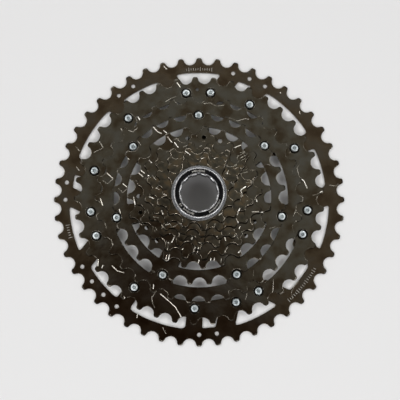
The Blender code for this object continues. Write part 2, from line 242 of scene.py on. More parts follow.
def layered(name: str, layers: Sequence[tuple[Sequence[Vector], float]]) -> bpy.types.Object:
    """A solid drawn up through outlines of equal length, from a filled circle.

    Args:
        name: Name of the object.
        layers: Outlines with their heights, from the lowest up.

    Returns:
        The closed mesh object.
    """
    first, base = layers[0]
    select_only(None)
    bpy.ops.mesh.primitive_circle_add(vertices=len(first), radius=1.0, fill_type="NGON")
    piece = bpy.context.active_object
    piece.name = name
    for vertex, place in zip(piece.data.vertices, first):
        vertex.co = (place.x, place.y, base)
    for outline, height in layers[1:]:
        below = {vertex.co.to_tuple(7): i for i, vertex in enumerate(piece.data.vertices)}
        order = top_order(piece, below, len(first))
        bpy.ops.object.mode_set(mode="EDIT")
        if len(piece.data.vertices) == len(first):
            bpy.ops.mesh.select_all(action="SELECT")
        bpy.ops.mesh.extrude_region_move()
        bpy.ops.object.mode_set(mode="OBJECT")
        move_raised(piece, order, outline, height)
    face_outwards(piece)
    return piece


def top_order(piece: bpy.types.Object, places: PlaceIndex, count: int) -> PlaceIndex:
    """Where each point of the highest outline stands in that outline.

    Args:
        piece: The solid so far.
        places: Vertex index by rounded place.
        count: Points in one outline.

    Returns:
        Place in the outline by rounded vertex place.
    """
    ring = piece.get("ring") or list(range(count))
    by_index = {index: place for place, index in places.items()}
    return {by_index[index]: order for order, index in enumerate(ring)}


def move_raised(piece: bpy.types.Object, order: PlaceIndex, outline: Sequence[Vector], height: float) -> None:
    """Moves the selected, just extruded points to the next outline.

    Args:
        piece: The solid so far.
        order: Place in the outline by rounded vertex place.
        outline: The next outline.
        height: Its height.
    """
    ring = [0] * len(outline)
    for vertex in piece.data.vertices:
        if vertex.select:
            place = order[vertex.co.to_tuple(7)]
            ring[place] = vertex.index
            vertex.co = (outline[place].x, outline[place].y, height)
    piece["ring"] = ring


def prism(name: str, outline: Sequence[Vector], low: float, high: float) -> bpy.types.Object:
    """A straight-walled solid.

    Args:
        name: Name of the object.
        outline: Its outline.
        low: Height of its base.
        high: Height of its top.

    Returns:
        The closed mesh object.
    """
    return layered(name, [(outline, low), (outline, high)])


def lathe(name: str, profile: Sequence[Vector], steps: int) -> bpy.types.Object:
    """A turned solid from a closed half section.

    Args:
        name: Name of the object.
        profile: Points as (radius, height).
        steps: Steps round the axis.

    Returns:
        The closed mesh object.
    """
    select_only(None)
    bpy.ops.mesh.primitive_circle_add(vertices=len(profile), radius=1.0, fill_type="NOTHING")
    piece = bpy.context.active_object
    piece.name = name
    for vertex, place in zip(piece.data.vertices, profile):
        vertex.co = (place.x, 0.0, place.y)
    bpy.ops.object.mode_set(mode="EDIT")
    bpy.ops.mesh.select_all(action="SELECT")
    bpy.ops.mesh.spin(steps=steps, angle=math.tau, center=(0, 0, 0), axis=(0, 0, 1))
    bpy.ops.object.mode_set(mode="OBJECT")
    face_outwards(piece)
    return piece


def join(pieces: Sequence[bpy.types.Object]) -> bpy.types.Object:
    """Joins meshes into the first one.

    Args:
        pieces: The objects to join.

    Returns:
        The joined object.
    """
    select_only(pieces[0])
    for piece in pieces:
        piece.select_set(True)
    if len(pieces) > 1:
        bpy.ops.object.join()
    return pieces[0]


def carve(piece: bpy.types.Object, cutters: Sequence[bpy.types.Object], cut: Cut = Cut.TAKE_AWAY) -> None:
    """Applies one Boolean with cutters that don't cross each other, and removes them.

    Args:
        piece: The solid to change.
        cutters: The solids that change it.
        cut: What the Boolean does.
    """
    if not cutters:
        return
    tool = join(list(cutters))
    select_only(piece)
    modifier = piece.modifiers.new("cut", "BOOLEAN")
    modifier.operation = cut.value
    modifier.object = tool
    bpy.ops.object.modifier_apply(modifier=modifier.name)
    bpy.data.objects.remove(tool)


def soften(piece: bpy.types.Object, width: float, limit: float = 38.0, wedges: int = 0) -> None:
    """Breaks the sharp edges, gives them the second material slot and evens the shading.

    Args:
        piece: The solid to finish.
        width: Width of the broken edge in metres.
        limit: Smallest angle between faces that counts as sharp, in degrees.
        wedges: Cuts through the axis that part the wide flat faces into small ones.
    """
    select_only(piece)
    bpy.ops.object.mode_set(mode="EDIT")
    bpy.ops.mesh.select_all(action="SELECT")
    bpy.ops.mesh.dissolve_limited(angle_limit=math.radians(FLAT_ANGLE), delimit={"NORMAL", "MATERIAL"})
    for wedge in range(wedges):
        across = polar(1.0, 180.0 * (wedge + WEDGE_PHASE) / wedges)
        bpy.ops.mesh.select_all(action="SELECT")
        bpy.ops.mesh.bisect(plane_co=(0, 0, 0), plane_no=(across.x, across.y, 0.0))
    bpy.ops.mesh.select_all(action="SELECT")
    bpy.ops.mesh.remove_doubles(threshold=MERGE_DISTANCE)
    bpy.ops.object.mode_set(mode="OBJECT")
    bevel = piece.modifiers.new("broken_edge", "BEVEL")
    bevel.width = width
    bevel.segments = 2
    bevel.limit_method = "ANGLE"
    bevel.angle_limit = math.radians(limit)
    bevel.use_clamp_overlap = False
    # On the sprockets the second slot holds the painted edge glints and shade.
    bevel.material = 1 if len(piece.data.materials) > 1 else -1
    bpy.ops.object.modifier_apply(modifier=bevel.name)
    bpy.ops.object.shade_smooth()
    normals = piece.modifiers.new("even_shading", "WEIGHTED_NORMAL")
    normals.weight = 90
    normals.keep_sharp = True
    bpy.ops.object.modifier_apply(modifier=normals.name)


@dataclass(frozen=True)
class MetalFinish:
    """A procedural metal: mixed tints, uneven gloss and a fine relief."""

    name: str
    tints: tuple[Colour, Colour, Colour]
    patch_scale: float
    gloss: tuple[float, float]
    gloss_scale: float
    grain: Grain = Grain.STAMPED
    grain_scale: float = 1500.0
    grain_depth: float = 0.00002
    metallic: float = 1.0
    specular: float = 0.5

    def material(self) -> bpy.types.Material:
        """The material of this finish, made once.

        Returns:
            The node material.
        """
        made = bpy.data.materials.get(self.name)
        if made is not None:
            return made
        made = bpy.data.materials.new(self.name)
        made.use_nodes = True
        tree = made.node_tree
        shader = tree.nodes["Principled BSDF"]
        shader.inputs["Metallic"].default_value = self.metallic
        shader.inputs["Specular IOR Level"].default_value = self.specular
        place = tree.nodes.new("ShaderNodeTexCoord").outputs["Object"]
        self._tint(tree, place, shader)
        self._gloss(tree, place, shader)
        self._relief(tree, place, shader)
        return made

    def _noise(
        self, tree: bpy.types.NodeTree, place: bpy.types.NodeSocket, scale: float
    ) -> bpy.types.NodeSocket:
        """A noise value over the piece.

        Args:
            tree: The material's nodes.
            place: The coordinate socket.
            scale: Patches to the metre.

        Returns:
            The noise's value socket.
        """
        noise = tree.nodes.new("ShaderNodeTexNoise")
        noise.inputs["Scale"].default_value = scale
        noise.inputs["Detail"].default_value = 4.0
        tree.links.new(place, noise.inputs["Vector"])
        return noise.outputs["Fac"]

    def _tint(self, tree: bpy.types.NodeTree, place: bpy.types.NodeSocket, shader: bpy.types.Node) -> None:
        """Mixes the three tints in soft patches.

        Args:
            tree: The material's nodes.
            place: The coordinate socket.
            shader: The Principled node.
        """
        ramp = tree.nodes.new("ShaderNodeValToRGB")
        stops = ramp.color_ramp.elements
        stops[0].position = 0.36
        stops[1].position = 0.64
        middle = stops.new(0.5)
        for stop, tint in zip((stops[0], middle, stops[2]), self.tints):
            stop.color = (*tint, 1.0)
        tree.links.new(self._noise(tree, place, self.patch_scale), ramp.inputs["Fac"])
        tree.links.new(ramp.outputs["Color"], shader.inputs["Base Color"])

    def _gloss(self, tree: bpy.types.NodeTree, place: bpy.types.NodeSocket, shader: bpy.types.Node) -> None:
        """Varies the roughness between two values.

        Args:
            tree: The material's nodes.
            place: The coordinate socket.
            shader: The Principled node.
        """
        spread = tree.nodes.new("ShaderNodeMapRange")
        spread.inputs["From Min"].default_value = 0.3
        spread.inputs["From Max"].default_value = 0.7
        spread.inputs["To Min"].default_value = self.gloss[0]
        spread.inputs["To Max"].default_value = self.gloss[1]
        tree.links.new(self._noise(tree, place, self.gloss_scale), spread.inputs["Value"])
        tree.links.new(spread.outputs["Result"], shader.inputs["Roughness"])

    def _relief(self, tree: bpy.types.NodeTree, place: bpy.types.NodeSocket, shader: bpy.types.Node) -> None:
        """Adds the stamped grain or the turning marks as a bump.

        Args:
            tree: The material's nodes.
            place: The coordinate socket.
            shader: The Principled node.
        """
        if self.grain is Grain.STAMPED:
            height = self._noise(tree, place, self.grain_scale)
        else:
            height = self._turning_marks(tree, place)
        bump = tree.nodes.new("ShaderNodeBump")
        bump.inputs["Strength"].default_value = 0.5
        bump.inputs["Distance"].default_value = self.grain_depth
        tree.links.new(height, bump.inputs["Height"])
        tree.links.new(bump.outputs["Normal"], shader.inputs["Normal"])

    def _turning_marks(self, tree: bpy.types.NodeTree, place: bpy.types.NodeSocket) -> bpy.types.NodeSocket:
        """Fine rings round the axis, as a lathe leaves them.

        Args:
            tree: The material's nodes.
            place: The coordinate socket.

        Returns:
            The height socket.
        """
        flat = tree.nodes.new("ShaderNodeVectorMath")
        flat.operation = "MULTIPLY"
        flat.inputs[1].default_value = (1.0, 1.0, 0.0)
        radius = tree.nodes.new("ShaderNodeVectorMath")
        radius.operation = "LENGTH"
        turns = tree.nodes.new("ShaderNodeMath")
        turns.operation = "MULTIPLY"
        turns.inputs[1].default_value = self.grain_scale
        wave = tree.nodes.new("ShaderNodeMath")
        wave.operation = "SINE"
        tree.links.new(place, flat.inputs[0])
        tree.links.new(flat.outputs["Vector"], radius.inputs[0])
        tree.links.new(radius.outputs["Value"], turns.inputs[0])
        tree.links.new(turns.outputs["Value"], wave.inputs[0])
        return wave.outputs["Value"]


BLACK_NICKEL = MetalFinish(
    name="black_nickel",
    tints=((0.062, 0.049, 0.033), (0.095, 0.087, 0.069), (0.110, 0.108, 0.096)),
    patch_scale=95.0,
    gloss=(0.09, 0.15),
    gloss_scale=140.0,
    grain_scale=90.0,
    grain_depth=0.00022,
)
RIM_NICKEL = MetalFinish(
    name="rim_nickel",
    tints=((0.058, 0.042, 0.027), (0.085, 0.067, 0.046), (0.088, 0.077, 0.062)),
    patch_scale=80.0,
    gloss=(0.09, 0.15),
    gloss_scale=140.0,
    grain_scale=80.0,
    grain_depth=0.00020,
)
BRONZE_NICKEL = MetalFinish(
    name="bronze_nickel",
    tints=((0.150, 0.120, 0.080), (0.106, 0.098, 0.077), (0.066, 0.063, 0.052)),
    patch_scale=230.0,
    gloss=(0.08, 0.14),
    gloss_scale=220.0,
    grain_scale=190.0,
    grain_depth=0.00011,
)
# Painted glints and shade: patches from near black to bright on the broken edges, brows and tip slopes,
# standing in for edge highlights and the dark lines round the teeth.
EDGE_GLINT_AND_SHADE = MetalFinish(
    name="painted_edge_glint_and_shade",
    tints=((0.018, 0.015, 0.011), (0.070, 0.062, 0.048), (0.340, 0.315, 0.270)),
    patch_scale=210.0,
    gloss=(0.18, 0.30),
    gloss_scale=300.0,
)
# Painted glints and shade for the small sprockets' edges: mostly dark, with bright bronze patches that stand
# in for scattered highlights.
BRONZE_EDGE_GLINT_AND_SHADE = MetalFinish(
    name="painted_bronze_edge_glint_and_shade",
    tints=((0.020, 0.016, 0.011), (0.060, 0.048, 0.032), (0.600, 0.540, 0.450)),
    patch_scale=260.0,
    gloss=(0.14, 0.26),
    gloss_scale=300.0,
)
# Painted highlight: the shifting steps are real stamped grooves; their pale colour stands in for the soft
# glints that their slopes catch.
PAINTED_DIM_HIGHLIGHT = MetalFinish(
    name="painted_dim_highlight",
    tints=((0.12, 0.11, 0.09), (0.24, 0.23, 0.20), (0.38, 0.36, 0.33)),
    patch_scale=160.0,
    gloss=(0.16, 0.28),
    gloss_scale=300.0,
)
# Painted highlight: near-white colour on the slopes of the brightest shifting steps, standing in for the
# glints of lamps on them.
PAINTED_BRIGHT_HIGHLIGHT = MetalFinish(
    name="painted_bright_highlight",
    tints=((0.50, 0.47, 0.42), (0.70, 0.68, 0.63), (0.86, 0.84, 0.80)),
    patch_scale=120.0,
    gloss=(0.22, 0.34),
    gloss_scale=300.0,
)
# Painted shade: near-black colour for the rivet-head recesses and the pockets round the small plates' teeth,
# standing in for the shade that falls there.
PAINTED_SHADE_BLACK = MetalFinish(
    name="painted_shade_black",
    tints=((0.006, 0.005, 0.004), (0.010, 0.009, 0.007), (0.018, 0.016, 0.013)),
    patch_scale=300.0,
    gloss=(0.30, 0.45),
    gloss_scale=400.0,
    grain_scale=900.0,
)
ZINC_PLATE = MetalFinish(
    name="zinc_plate",
    tints=((0.300, 0.340, 0.360), (0.400, 0.440, 0.460), (0.480, 0.520, 0.530)),
    patch_scale=220.0,
    gloss=(0.24, 0.40),
    gloss_scale=700.0,
    grain_scale=1600.0,
    grain_depth=0.00003,
)
SATIN_ALLOY = MetalFinish(
    name="satin_alloy",
    tints=((0.320, 0.325, 0.335), (0.380, 0.385, 0.395), (0.440, 0.445, 0.455)),
    patch_scale=160.0,
    gloss=(0.22, 0.32),
    gloss_scale=500.0,
    grain=Grain.TURNED,
    grain_scale=9000.0,
    grain_depth=0.000002,
)
BLACK_BAND = MetalFinish(
    name="black_band",
    tints=((0.0030, 0.0030, 0.0035), (0.0050, 0.0050, 0.0055), (0.0080, 0.0080, 0.0085)),
    patch_scale=300.0,
    gloss=(0.18, 0.28),
    gloss_scale=900.0,
    grain=Grain.TURNED,
    grain_scale=30000.0,
    grain_depth=0.000002,
    metallic=0.0,
    specular=0.04,
)
ETCHED_MARK = MetalFinish(
    name="etched_mark",
    tints=((0.20, 0.19, 0.17), (0.28, 0.27, 0.25), (0.34, 0.33, 0.31)),
    patch_scale=900.0,
    gloss=(0.5, 0.65),
    gloss_scale=900.0,
    grain_scale=3000.0,
    grain_depth=0.00001,
    metallic=0.3,
)
BLACK_ANODISE = MetalFinish(
    name="black_anodise",
    tints=((0.020, 0.020, 0.022), (0.030, 0.030, 0.032), (0.042, 0.042, 0.044)),
    patch_scale=120.0,
    gloss=(0.40, 0.56),
    gloss_scale=400.0,
    grain=Grain.TURNED,
    grain_scale=26000.0,
    grain_depth=0.00001,
    metallic=0.7,
)


def dress(piece: bpy.types.Object, finishes: Sequence[MetalFinish]) -> None:
    """Gives a piece its finishes, one to a slot.

    Args:
        piece: The object to dress.
        finishes: Finishes in slot order.
    """
    piece.data.materials.clear()
    for finish in finishes:
        piece.data.materials.append(finish.material())


def hand_in(piece: bpy.types.Object, body: Body, nodes: Iterable[str] = ()) -> None:
    """Puts a finished piece on its body, in place of its solid.

    Args:
        piece: The finished object.
        body: What it moves with.
        nodes: The solids that it stands for.
    """
    if "ring" in piece:
        del piece["ring"]
    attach(piece, body.value)
    names = tuple(nodes)
    if names:
        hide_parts(*names)
    LOG.info("%s on %s: %d faces", piece.name, body.value, len(piece.data.polygons))


@dataclass(frozen=True)
class ToothForm:
    """The tooth shape that every sprocket shares."""

    chain_pitch: float = 12.7 * MM
    root_depth: float = 3.95 * MM
    seat_radius: float = 4.5 * MM
    height: float = 4.9 * MM
    tip_width: float = 2.6 * MM
    tip_corner: float = 0.4 * MM
    seat_sweep: float = 78.0
    seat_points: int = 15
    tip_relief: float = 0.55
    tip_draw: float = 1.4

    def pitch_radius(self, teeth: int) -> float:
        """Radius of the circle through the chain's pins."""
        return self.chain_pitch / (2 * math.sin(math.pi / teeth))

    def root_radius(self, teeth: int) -> float:
        """Radius at the bottom of the roller seats."""
        return self.pitch_radius(teeth) - self.root_depth

    def outline(self, teeth: int, first: float, relief: float = 0.0, lean: float = 0.0) -> list[Vector]:
        """The toothed edge of a sprocket.

        Args:
            teeth: Number of teeth.
            first: Angle of one tooth in degrees.
            relief: How far the tips are drawn back along their flanks, as a share of the flank.
            lean: How far the tips are pushed to one side or the other, in metres.

        Returns:
            The outline's points in order.
        """
        step = 360.0 / teeth
        tip_circle = self.root_radius(teeth) + self.height
        half_tip = math.degrees(self.tip_width / 2 / tip_circle)
        points: list[Vector] = []
        for tooth in range(teeth):
            tip = first + tooth * step
            before = self._seat(teeth, tip - step / 2)[-1]
            after = self._seat(teeth, tip + step / 2)
            push = polar(lean * (tooth % 3 - 1), tip + 90.0)
            left = polar(tip_circle, tip - half_tip).lerp(before, relief) + push
            right = polar(tip_circle, tip + half_tip).lerp(after[0], relief) + push
            along = (right - left).normalized() * self.tip_corner
            points += [left.lerp(before, 0.4), left + along, right - along, right.lerp(after[0], 0.4)]
            points += after
        return points

    def _seat(self, teeth: int, middle: float) -> list[Vector]:
        """One roller seat.

        Args:
            teeth: Number of teeth.
            middle: Angle of the seat's middle in degrees.

        Returns:
            The seat's points in order.
        """
        centre = polar(self.root_radius(teeth) + self.seat_radius, middle)
        swings = [self.seat_sweep * (1 - 2 * i / (self.seat_points - 1)) for i in range(self.seat_points)]
        return [centre + polar(self.seat_radius, middle + 180.0 + swing) for swing in swings]

    def inset(self, width: float) -> "ToothForm":
        """The same teeth with their whole edge drawn in.

        Args:
            width: How far the edge moves in, in metres.

        Returns:
            The smaller form.
        """
        return replace(
            self,
            root_depth=self.root_depth + width,
            seat_radius=self.seat_radius + width,
            tip_width=self.tip_width - self.tip_draw * width,
        )


TOOTH = ToothForm()


@dataclass(frozen=True)
class SplineBore:
    """The splined bore that fits the freehub."""

    count: int = 9
    minor_radius: float = 16.0 * MM
    major_radius: float = 17.2 * MM
    first: float = 90.4
    half_groove: float = 11.0
    half_wide_groove: float = 14.0

    def outline(self) -> list[Vector]:
        """The bore's outline.

        Returns:
            The outline's points in order.
        """
        step = 360.0 / self.count
        points: list[Vector] = []
        for groove in range(self.count):
            centre = self.first + groove * step
            half = self.half_wide_groove if groove == 0 else self.half_groove
            points += arc(self.major_radius, centre - half, centre + half, 4.0)
            points += arc(self.minor_radius, centre + half, centre + step - self.half_groove, 4.0)
        return points


BORE = SplineBore()


@dataclass(frozen=True)
class Stations:
    """The seven places round the axis that carry arms, tabs and rivets."""

    count: int = 7
    first: float = 90.4
    flared: tuple[int, ...] = (0, 2, 4, 5)
    flared_pair: Polar = (-6.5, 6.5)
    straight_pair: Polar = (-10.8, 23.0)
    outer_circle: float = TOOTH.root_radius(41) - 6.0 * MM
    inner_circle: float = TOOTH.root_radius(34) - 8.6 * MM

    @property
    def pitch(self) -> float:
        """Angle between two stations in degrees."""
        return 360.0 / self.count

    def angle(self, station: int) -> float:
        """Angle of one station in degrees."""
        return self.first + station * self.pitch

    def outer_rivets(self) -> list[Vector]:
        """Places of the rivets between the largest and the second sprocket.

        Returns:
            The places in the order of the rivets' numbers.
        """
        places: list[Vector] = []
        for station in range(self.count):
            pair = self.flared_pair if station in self.flared else self.straight_pair
            places += [polar(self.outer_circle, self.angle(station) + offset) for offset in pair]
        return places

    def inner_rivets(self) -> list[Vector]:
        """Places of the rivets between the second and the third sprocket.

        Returns:
            The places in the order of the rivets' numbers.
        """
        return [polar(self.inner_circle, self.angle(station)) for station in range(self.count)]


STATIONS = Stations()


@dataclass
class Sprocket:
    """One toothed plate, with its bore, what is stamped into its front, and the painted highlights and shade
    on its front.
    """

    teeth: int
    first_tooth: float
    body: Body
    # Paths of the shifting steps; their slopes take painted dim or bright highlights.
    dim_highlight_steps: tuple[tuple[Polar, ...], ...] = ()
    bright_highlight_steps: tuple[tuple[Polar, ...], ...] = ()
    holed_teeth: tuple[int, ...] = ()
    hole_radius: float = 1.4 * MM
    hole_inset: float = 2.85 * MM
    dim_highlight_depth: float = 0.05 * MM
    bright_highlight_depth: float = 0.07 * MM
    step_floor: float = 0.06 * MM
    step_slope: float = 17.0
    relief_depth: float = 0.3 * MM
    brow_width: float = 0.24 * MM
    brow_drop: float = 0.07 * MM
    lean: float = 0.0
    edge: float = 0.1 * MM
    # The plate above, and the black pocket of painted shade round its teeth.
    above: Optional[tuple[int, float]] = None
    shade_width: float = 0.5 * MM
    shade_slope: float = 0.1 * MM
    shade_depth: float = 0.04 * MM
    back_bevel: float = 0.3 * MM
    finish: MetalFinish = BLACK_NICKEL
    # Finish of the edges and brows: painted glints and shade.
    edge_glint_and_shade: MetalFinish = EDGE_GLINT_AND_SHADE
    low: float = field(init=False)
    high: float = field(init=False)

    def __post_init__(self) -> None:
        """Takes the plate's heights from its solid; a boss on the back lies below the plate."""
        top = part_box(self.node)[1]
        self.high = top[2]
        self.low = self.high - PLATE_THICKNESS

    @property
    def node(self) -> str:
        """Name of the solid that this plate stands for."""
        return f"sprocket_{self.teeth}t"

    @property
    def root(self) -> float:
        """Radius at the bottom of the roller seats."""
        return TOOTH.root_radius(self.teeth)

    @property
    def finishes(self) -> tuple[MetalFinish, ...]:
        """The finishes in the order of PlateSlot."""
        return (self.finish, self.edge_glint_and_shade, PAINTED_DIM_HIGHLIGHT, PAINTED_BRIGHT_HIGHLIGHT, PAINTED_SHADE_BLACK)

    def painted(self, cutter: bpy.types.Object, slot: PlateSlot) -> bpy.types.Object:
        """Gives a cutter the finish that its cut keeps.

        Args:
            cutter: The cutter.
            slot: The finish of the cut.

        Returns:
            The same cutter.
        """
        dress(cutter, self.finishes)
        for face in cutter.data.polygons:
            face.material_index = slot.value
        return cutter

    def build(self) -> bpy.types.Object:
        """Models the plate.

        Returns:
            The finished object.
        """
        full = TOOTH.outline(self.teeth, self.first_tooth)
        drawn_back = TOOTH.outline(self.teeth, self.first_tooth, TOOTH.tip_relief)
        leaning = TOOTH.outline(self.teeth, self.first_tooth, TOOTH.tip_relief, self.lean)
        drawn_in = TOOTH.inset(self.brow_width)
        brow = drawn_in.outline(self.teeth, self.first_tooth, TOOTH.tip_relief, self.lean)
        plate = layered(
            f"toothed_plate_{self.teeth}",
            [
                (drawn_back, self.low),
                (full, self.low + self.back_bevel),
                (full, self.high - self.relief_depth),
                (leaning, self.high - self.brow_drop),
                (brow, self.high),
            ],
        )
        dress(plate, self.finishes)
        # The brows and drawn-back tips take the edge finish, whose patches paint glints and shade on them.
        for face in plate.data.polygons:
            if 0.3 < face.normal.z < 0.999:
                face.material_index = PlateSlot.EDGE.value
        self.add_boss(plate)
        carve(plate, self.through_cuts())
        carve(plate, self.recesses())
        # A black pocket of painted shade round the next plate's teeth.
        carve(plate, self.painted_shade_pocket())
        # The steps are cut with slopes coloured as painted highlights.
        for path in self.dim_highlight_steps:
            carve(plate, [self.step_cutter(path, self.dim_highlight_depth, PlateSlot.PAINTED_DIM_HIGHLIGHT)])
        for path in self.bright_highlight_steps:
            carve(plate, [self.step_cutter(path, self.bright_highlight_depth, PlateSlot.PAINTED_BRIGHT_HIGHLIGHT)])
        soften(plate, self.edge, wedges=PLATE_WEDGES)
        hand_in(plate, self.body, (self.node,))
        return plate

    def add_boss(self, plate: bpy.types.Object) -> None:
        """Adds what stands out of the plate's back; a flat plate has nothing there."""

    def through_cuts(self) -> list[bpy.types.Object]:
        """Cutters that go right through the plate.

        Returns:
            The cutters.
        """
        return [self.through("bore", BORE.outline())] + self.tooth_holes()

    def recesses(self) -> list[bpy.types.Object]:
        """Cutters that go part of the way into the front.

        Returns:
            The cutters.
        """
        return []

    def painted_shade_pocket(self) -> list[bpy.types.Object]:
        """A shallow black pocket of painted shade that shows as a dark line round the next smaller plate,
        where that plate's teeth would cast shadow.

        Returns:
            The cutter, or nothing where no plate is named above.
        """
        if self.above is None:
            return []
        teeth, first_tooth = self.above
        base = TOOTH.inset(self.shade_slope - self.shade_width).outline(teeth, first_tooth)
        mouth = TOOTH.inset(-self.shade_width).outline(teeth, first_tooth)
        pocket = layered("shade", [(base, self.high - self.shade_depth), (mouth, self.high + SHALLOW_MARGIN)])
        return [self.painted(pocket, PlateSlot.RECESS)]

    def through(self, name: str, outline: Sequence[Vector]) -> bpy.types.Object:
        """A cutter that passes both faces.

        Args:
            name: Name of the cutter.
            outline: Its outline.

        Returns:
            The cutter.
        """
        return prism(name, outline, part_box(self.node)[0][2] - CUT_MARGIN, self.high + CUT_MARGIN)

    def sunk(self, name: str, outline: Sequence[Vector], depth: float) -> bpy.types.Object:
        """A cutter that sinks into the front.

        Args:
            name: Name of the cutter.
            outline: Its outline.
            depth: How deep it cuts.

        Returns:
            The cutter.
        """
        return prism(name, outline, self.high - depth, self.high + CUT_MARGIN)

    def tooth_holes(self) -> list[bpy.types.Object]:
        """Round holes under some of the teeth.

        Returns:
            The cutters.
        """
        step = 360.0 / self.teeth
        ring = self.root - self.hole_inset
        return [
            self.through("hole", circle(self.hole_radius, 20, polar(ring, self.first_tooth + tooth * step)))
            for tooth in self.holed_teeth
        ]

    def step_cutter(self, path: Sequence[Polar], depth: float, slot: PlateSlot) -> bpy.types.Object:
        """One shifting step along its path, its slopes coloured as a painted highlight.

        Args:
            path: Points as (degrees, millimetres from the axis).
            depth: How deep it is pressed.
            slot: The painted highlight finish of its slopes.

        Returns:
            The cutter.
        """
        flare = 2 / math.tan(math.radians(self.step_slope))
        low, high = self.high - depth, self.high + SHALLOW_MARGIN
        wide = self.step_floor + flare * (high - low)
        cutter = layered("step", [(ribbon(path, self.step_floor), low), (ribbon(path, wide), high)])
        return self.painted(cutter, slot)


@dataclass
class BossedSprocket(Sprocket):
    """A small sprocket that carries its spacer as a boss."""

    boss_wall: float = 1.1 * MM

    def add_boss(self, plate: bpy.types.Object) -> None:
        """Joins the boss to the back of the plate.

        Args:
            plate: The toothed plate.
        """
        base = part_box(self.node)[0][2]
        ring = circle(BORE.major_radius + self.boss_wall, 96)
        carve(plate, [prism("boss", ring, base, (self.low + self.high) / 2)], Cut.ADD)


@dataclass
class RivetedSprocket(Sprocket):
    """A sprocket of the riveted unit, with its rivet holes."""

    shank_hole: float = 1.8 * MM
    tail_hole: float = 2.6 * MM
    head_recess: float = 3.6 * MM
    recess_depth: float = 0.9 * MM
    corner: float = 3.0 * MM
    tab_corner: float = 3.2 * MM
    tab_margin: float = 3.6 * MM

    def holes(self, places: Sequence[Vector], radius: float) -> list[bpy.types.Object]:
        """Round holes through the plate.

        Args:
            places: Their centres.
            radius: Their radius.

        Returns:
            The cutters.
        """
        return [self.through("rivet_hole", circle(radius, 24, place)) for place in places]

    def head_recesses(self, places: Sequence[Vector]) -> list[bpy.types.Object]:
        """Round recesses that the rivet heads sit in, coloured near black as painted shade.

        Args:
            places: Their centres.

        Returns:
            The cutters.
        """
        cutters = [self.sunk("recess", circle(self.head_recess, 32, p), self.recess_depth) for p in places]
        # The recesses are real; their black colour is painted shade.
        return [self.painted(cutter, PlateSlot.RECESS) for cutter in cutters]


@dataclass
class LargestSprocket(RivetedSprocket):
    """The largest sprocket: a toothed rim with tabs that reach in to the outer rivets."""

    rim_in_flared: float = 5.5 * MM
    rim_in_straight: float = 6.3 * MM
    rim_between: float = 7.3 * MM
    flared_rim: Polar = (10.2, 18.8)
    flared_end: Polar = (1.8, 13.5)
    straight_rim: float = 3.8
    straight_end: float = 4.3

    def tabs(self) -> list[tuple[tuple[float, float, float, float], float]]:
        """The tabs in angular order.

        Returns:
            For each tab its angles (rim start, rim end, inner start, inner end) and the rim width after it.
        """
        tabs: list[tuple[tuple[float, float, float, float], float]] = []
        for station in range(STATIONS.count):
            middle = STATIONS.angle(station)
            if station in STATIONS.flared:
                (near, far), (near_end, far_end) = self.flared_rim, self.flared_end
                before = (middle - far, middle - near, middle - far_end, middle - near_end)
                after = (middle + near, middle + far, middle + near_end, middle + far_end)
                tabs += [(before, self.rim_in_flared), (after, self.rim_between)]
                continue
            for offset, width in zip(STATIONS.straight_pair, (self.rim_in_straight, self.rim_between)):
                at = middle + offset
                rim, end = self.straight_rim, self.straight_end
                tabs.append(((at - rim, at + rim, at - end, at + end), width))
        return tabs

    def inner_outline(self) -> list[Vector]:
        """The inner edge, round the rim and every tab.

        Returns:
            The outline's points in order.
        """
        tab_end = STATIONS.outer_circle - self.tab_margin
        tabs = self.tabs()
        corners: list[tuple[Vector, float]] = []
        for i, ((start, end, end_start, end_end), width) in enumerate(tabs):
            before = self.root - tabs[i - 1][1]
            after = self.root - width
            corners.append((polar(before, start), self.corner))
            corners.append((polar(tab_end, end_start), self.tab_corner))
            corners.append((polar(tab_end, end_end), self.tab_corner))
            corners.append((polar(after, end), self.corner))
            following = tabs[(i + 1) % len(tabs)][0][0]
            if following < end:
                following += 360.0
            span = (following - end) / 6
            corners += [(point, 0.0) for point in arc(after, end + span, following - span, 2.0)]
        return rounded(corners)

    def through_cuts(self) -> list[bpy.types.Object]:
        """The open middle, the rivet holes and the rim's round holes.

        Returns:
            The cutters.
        """
        middle = self.through("middle", self.inner_outline())
        return [middle] + self.holes(STATIONS.outer_rivets(), self.tail_hole) + self.tooth_holes()


@dataclass
class SecondSprocket(RivetedSprocket):
    """The second sprocket: a toothed ring with seven tabs that reach in to the inner rivets."""

    widths: tuple[float, ...] = (11.2, 13.0, 15.5, 11.0, 8.0, 15.5, 10.7)
    window_half: float = 14.5
    tab_end_half: float = 5.5
    index_hole: float = 1.1 * MM
    index_place: Polar = (TOOTH.root_radius(41) - 4.0 * MM, 91.0)

    def inner_outline(self) -> list[Vector]:
        """The inner edge, round the ring and every tab.

        Returns:
            The outline's points in order.
        """
        tab_end = STATIONS.inner_circle - self.tab_margin
        corners: list[tuple[Vector, float]] = []
        for station, width in enumerate(self.widths):
            here = STATIONS.angle(station)
            middle = here + STATIONS.pitch / 2
            edge = self.root - width * MM
            start, end = middle - self.window_half, middle + self.window_half
            corners.append((polar(tab_end, here - self.tab_end_half), self.tab_corner))
            corners.append((polar(tab_end, here + self.tab_end_half), self.tab_corner))
            corners.append((polar(edge, start), self.corner))
            corners += [(point, 0.0) for point in arc(edge, start + 4.0, end - 4.0, 2.0)]
            corners.append((polar(edge, end), self.corner))
        return rounded(corners)

    def through_cuts(self) -> list[bpy.types.Object]:
        """The open middle and both rings of rivet holes.

        Returns:
            The cutters.
        """
        cutters = [self.through("middle", self.inner_outline())]
        cutters.append(self.through("index_hole", circle(self.index_hole, 20, polar(*self.index_place))))
        cutters += self.holes(STATIONS.outer_rivets(), self.shank_hole)
        return cutters + self.holes(STATIONS.inner_rivets(), self.tail_hole)

    def recesses(self) -> list[bpy.types.Object]:
        """Recesses round the outer rivets' heads.

        Returns:
            The cutters.
        """
        return self.head_recesses(STATIONS.outer_rivets())


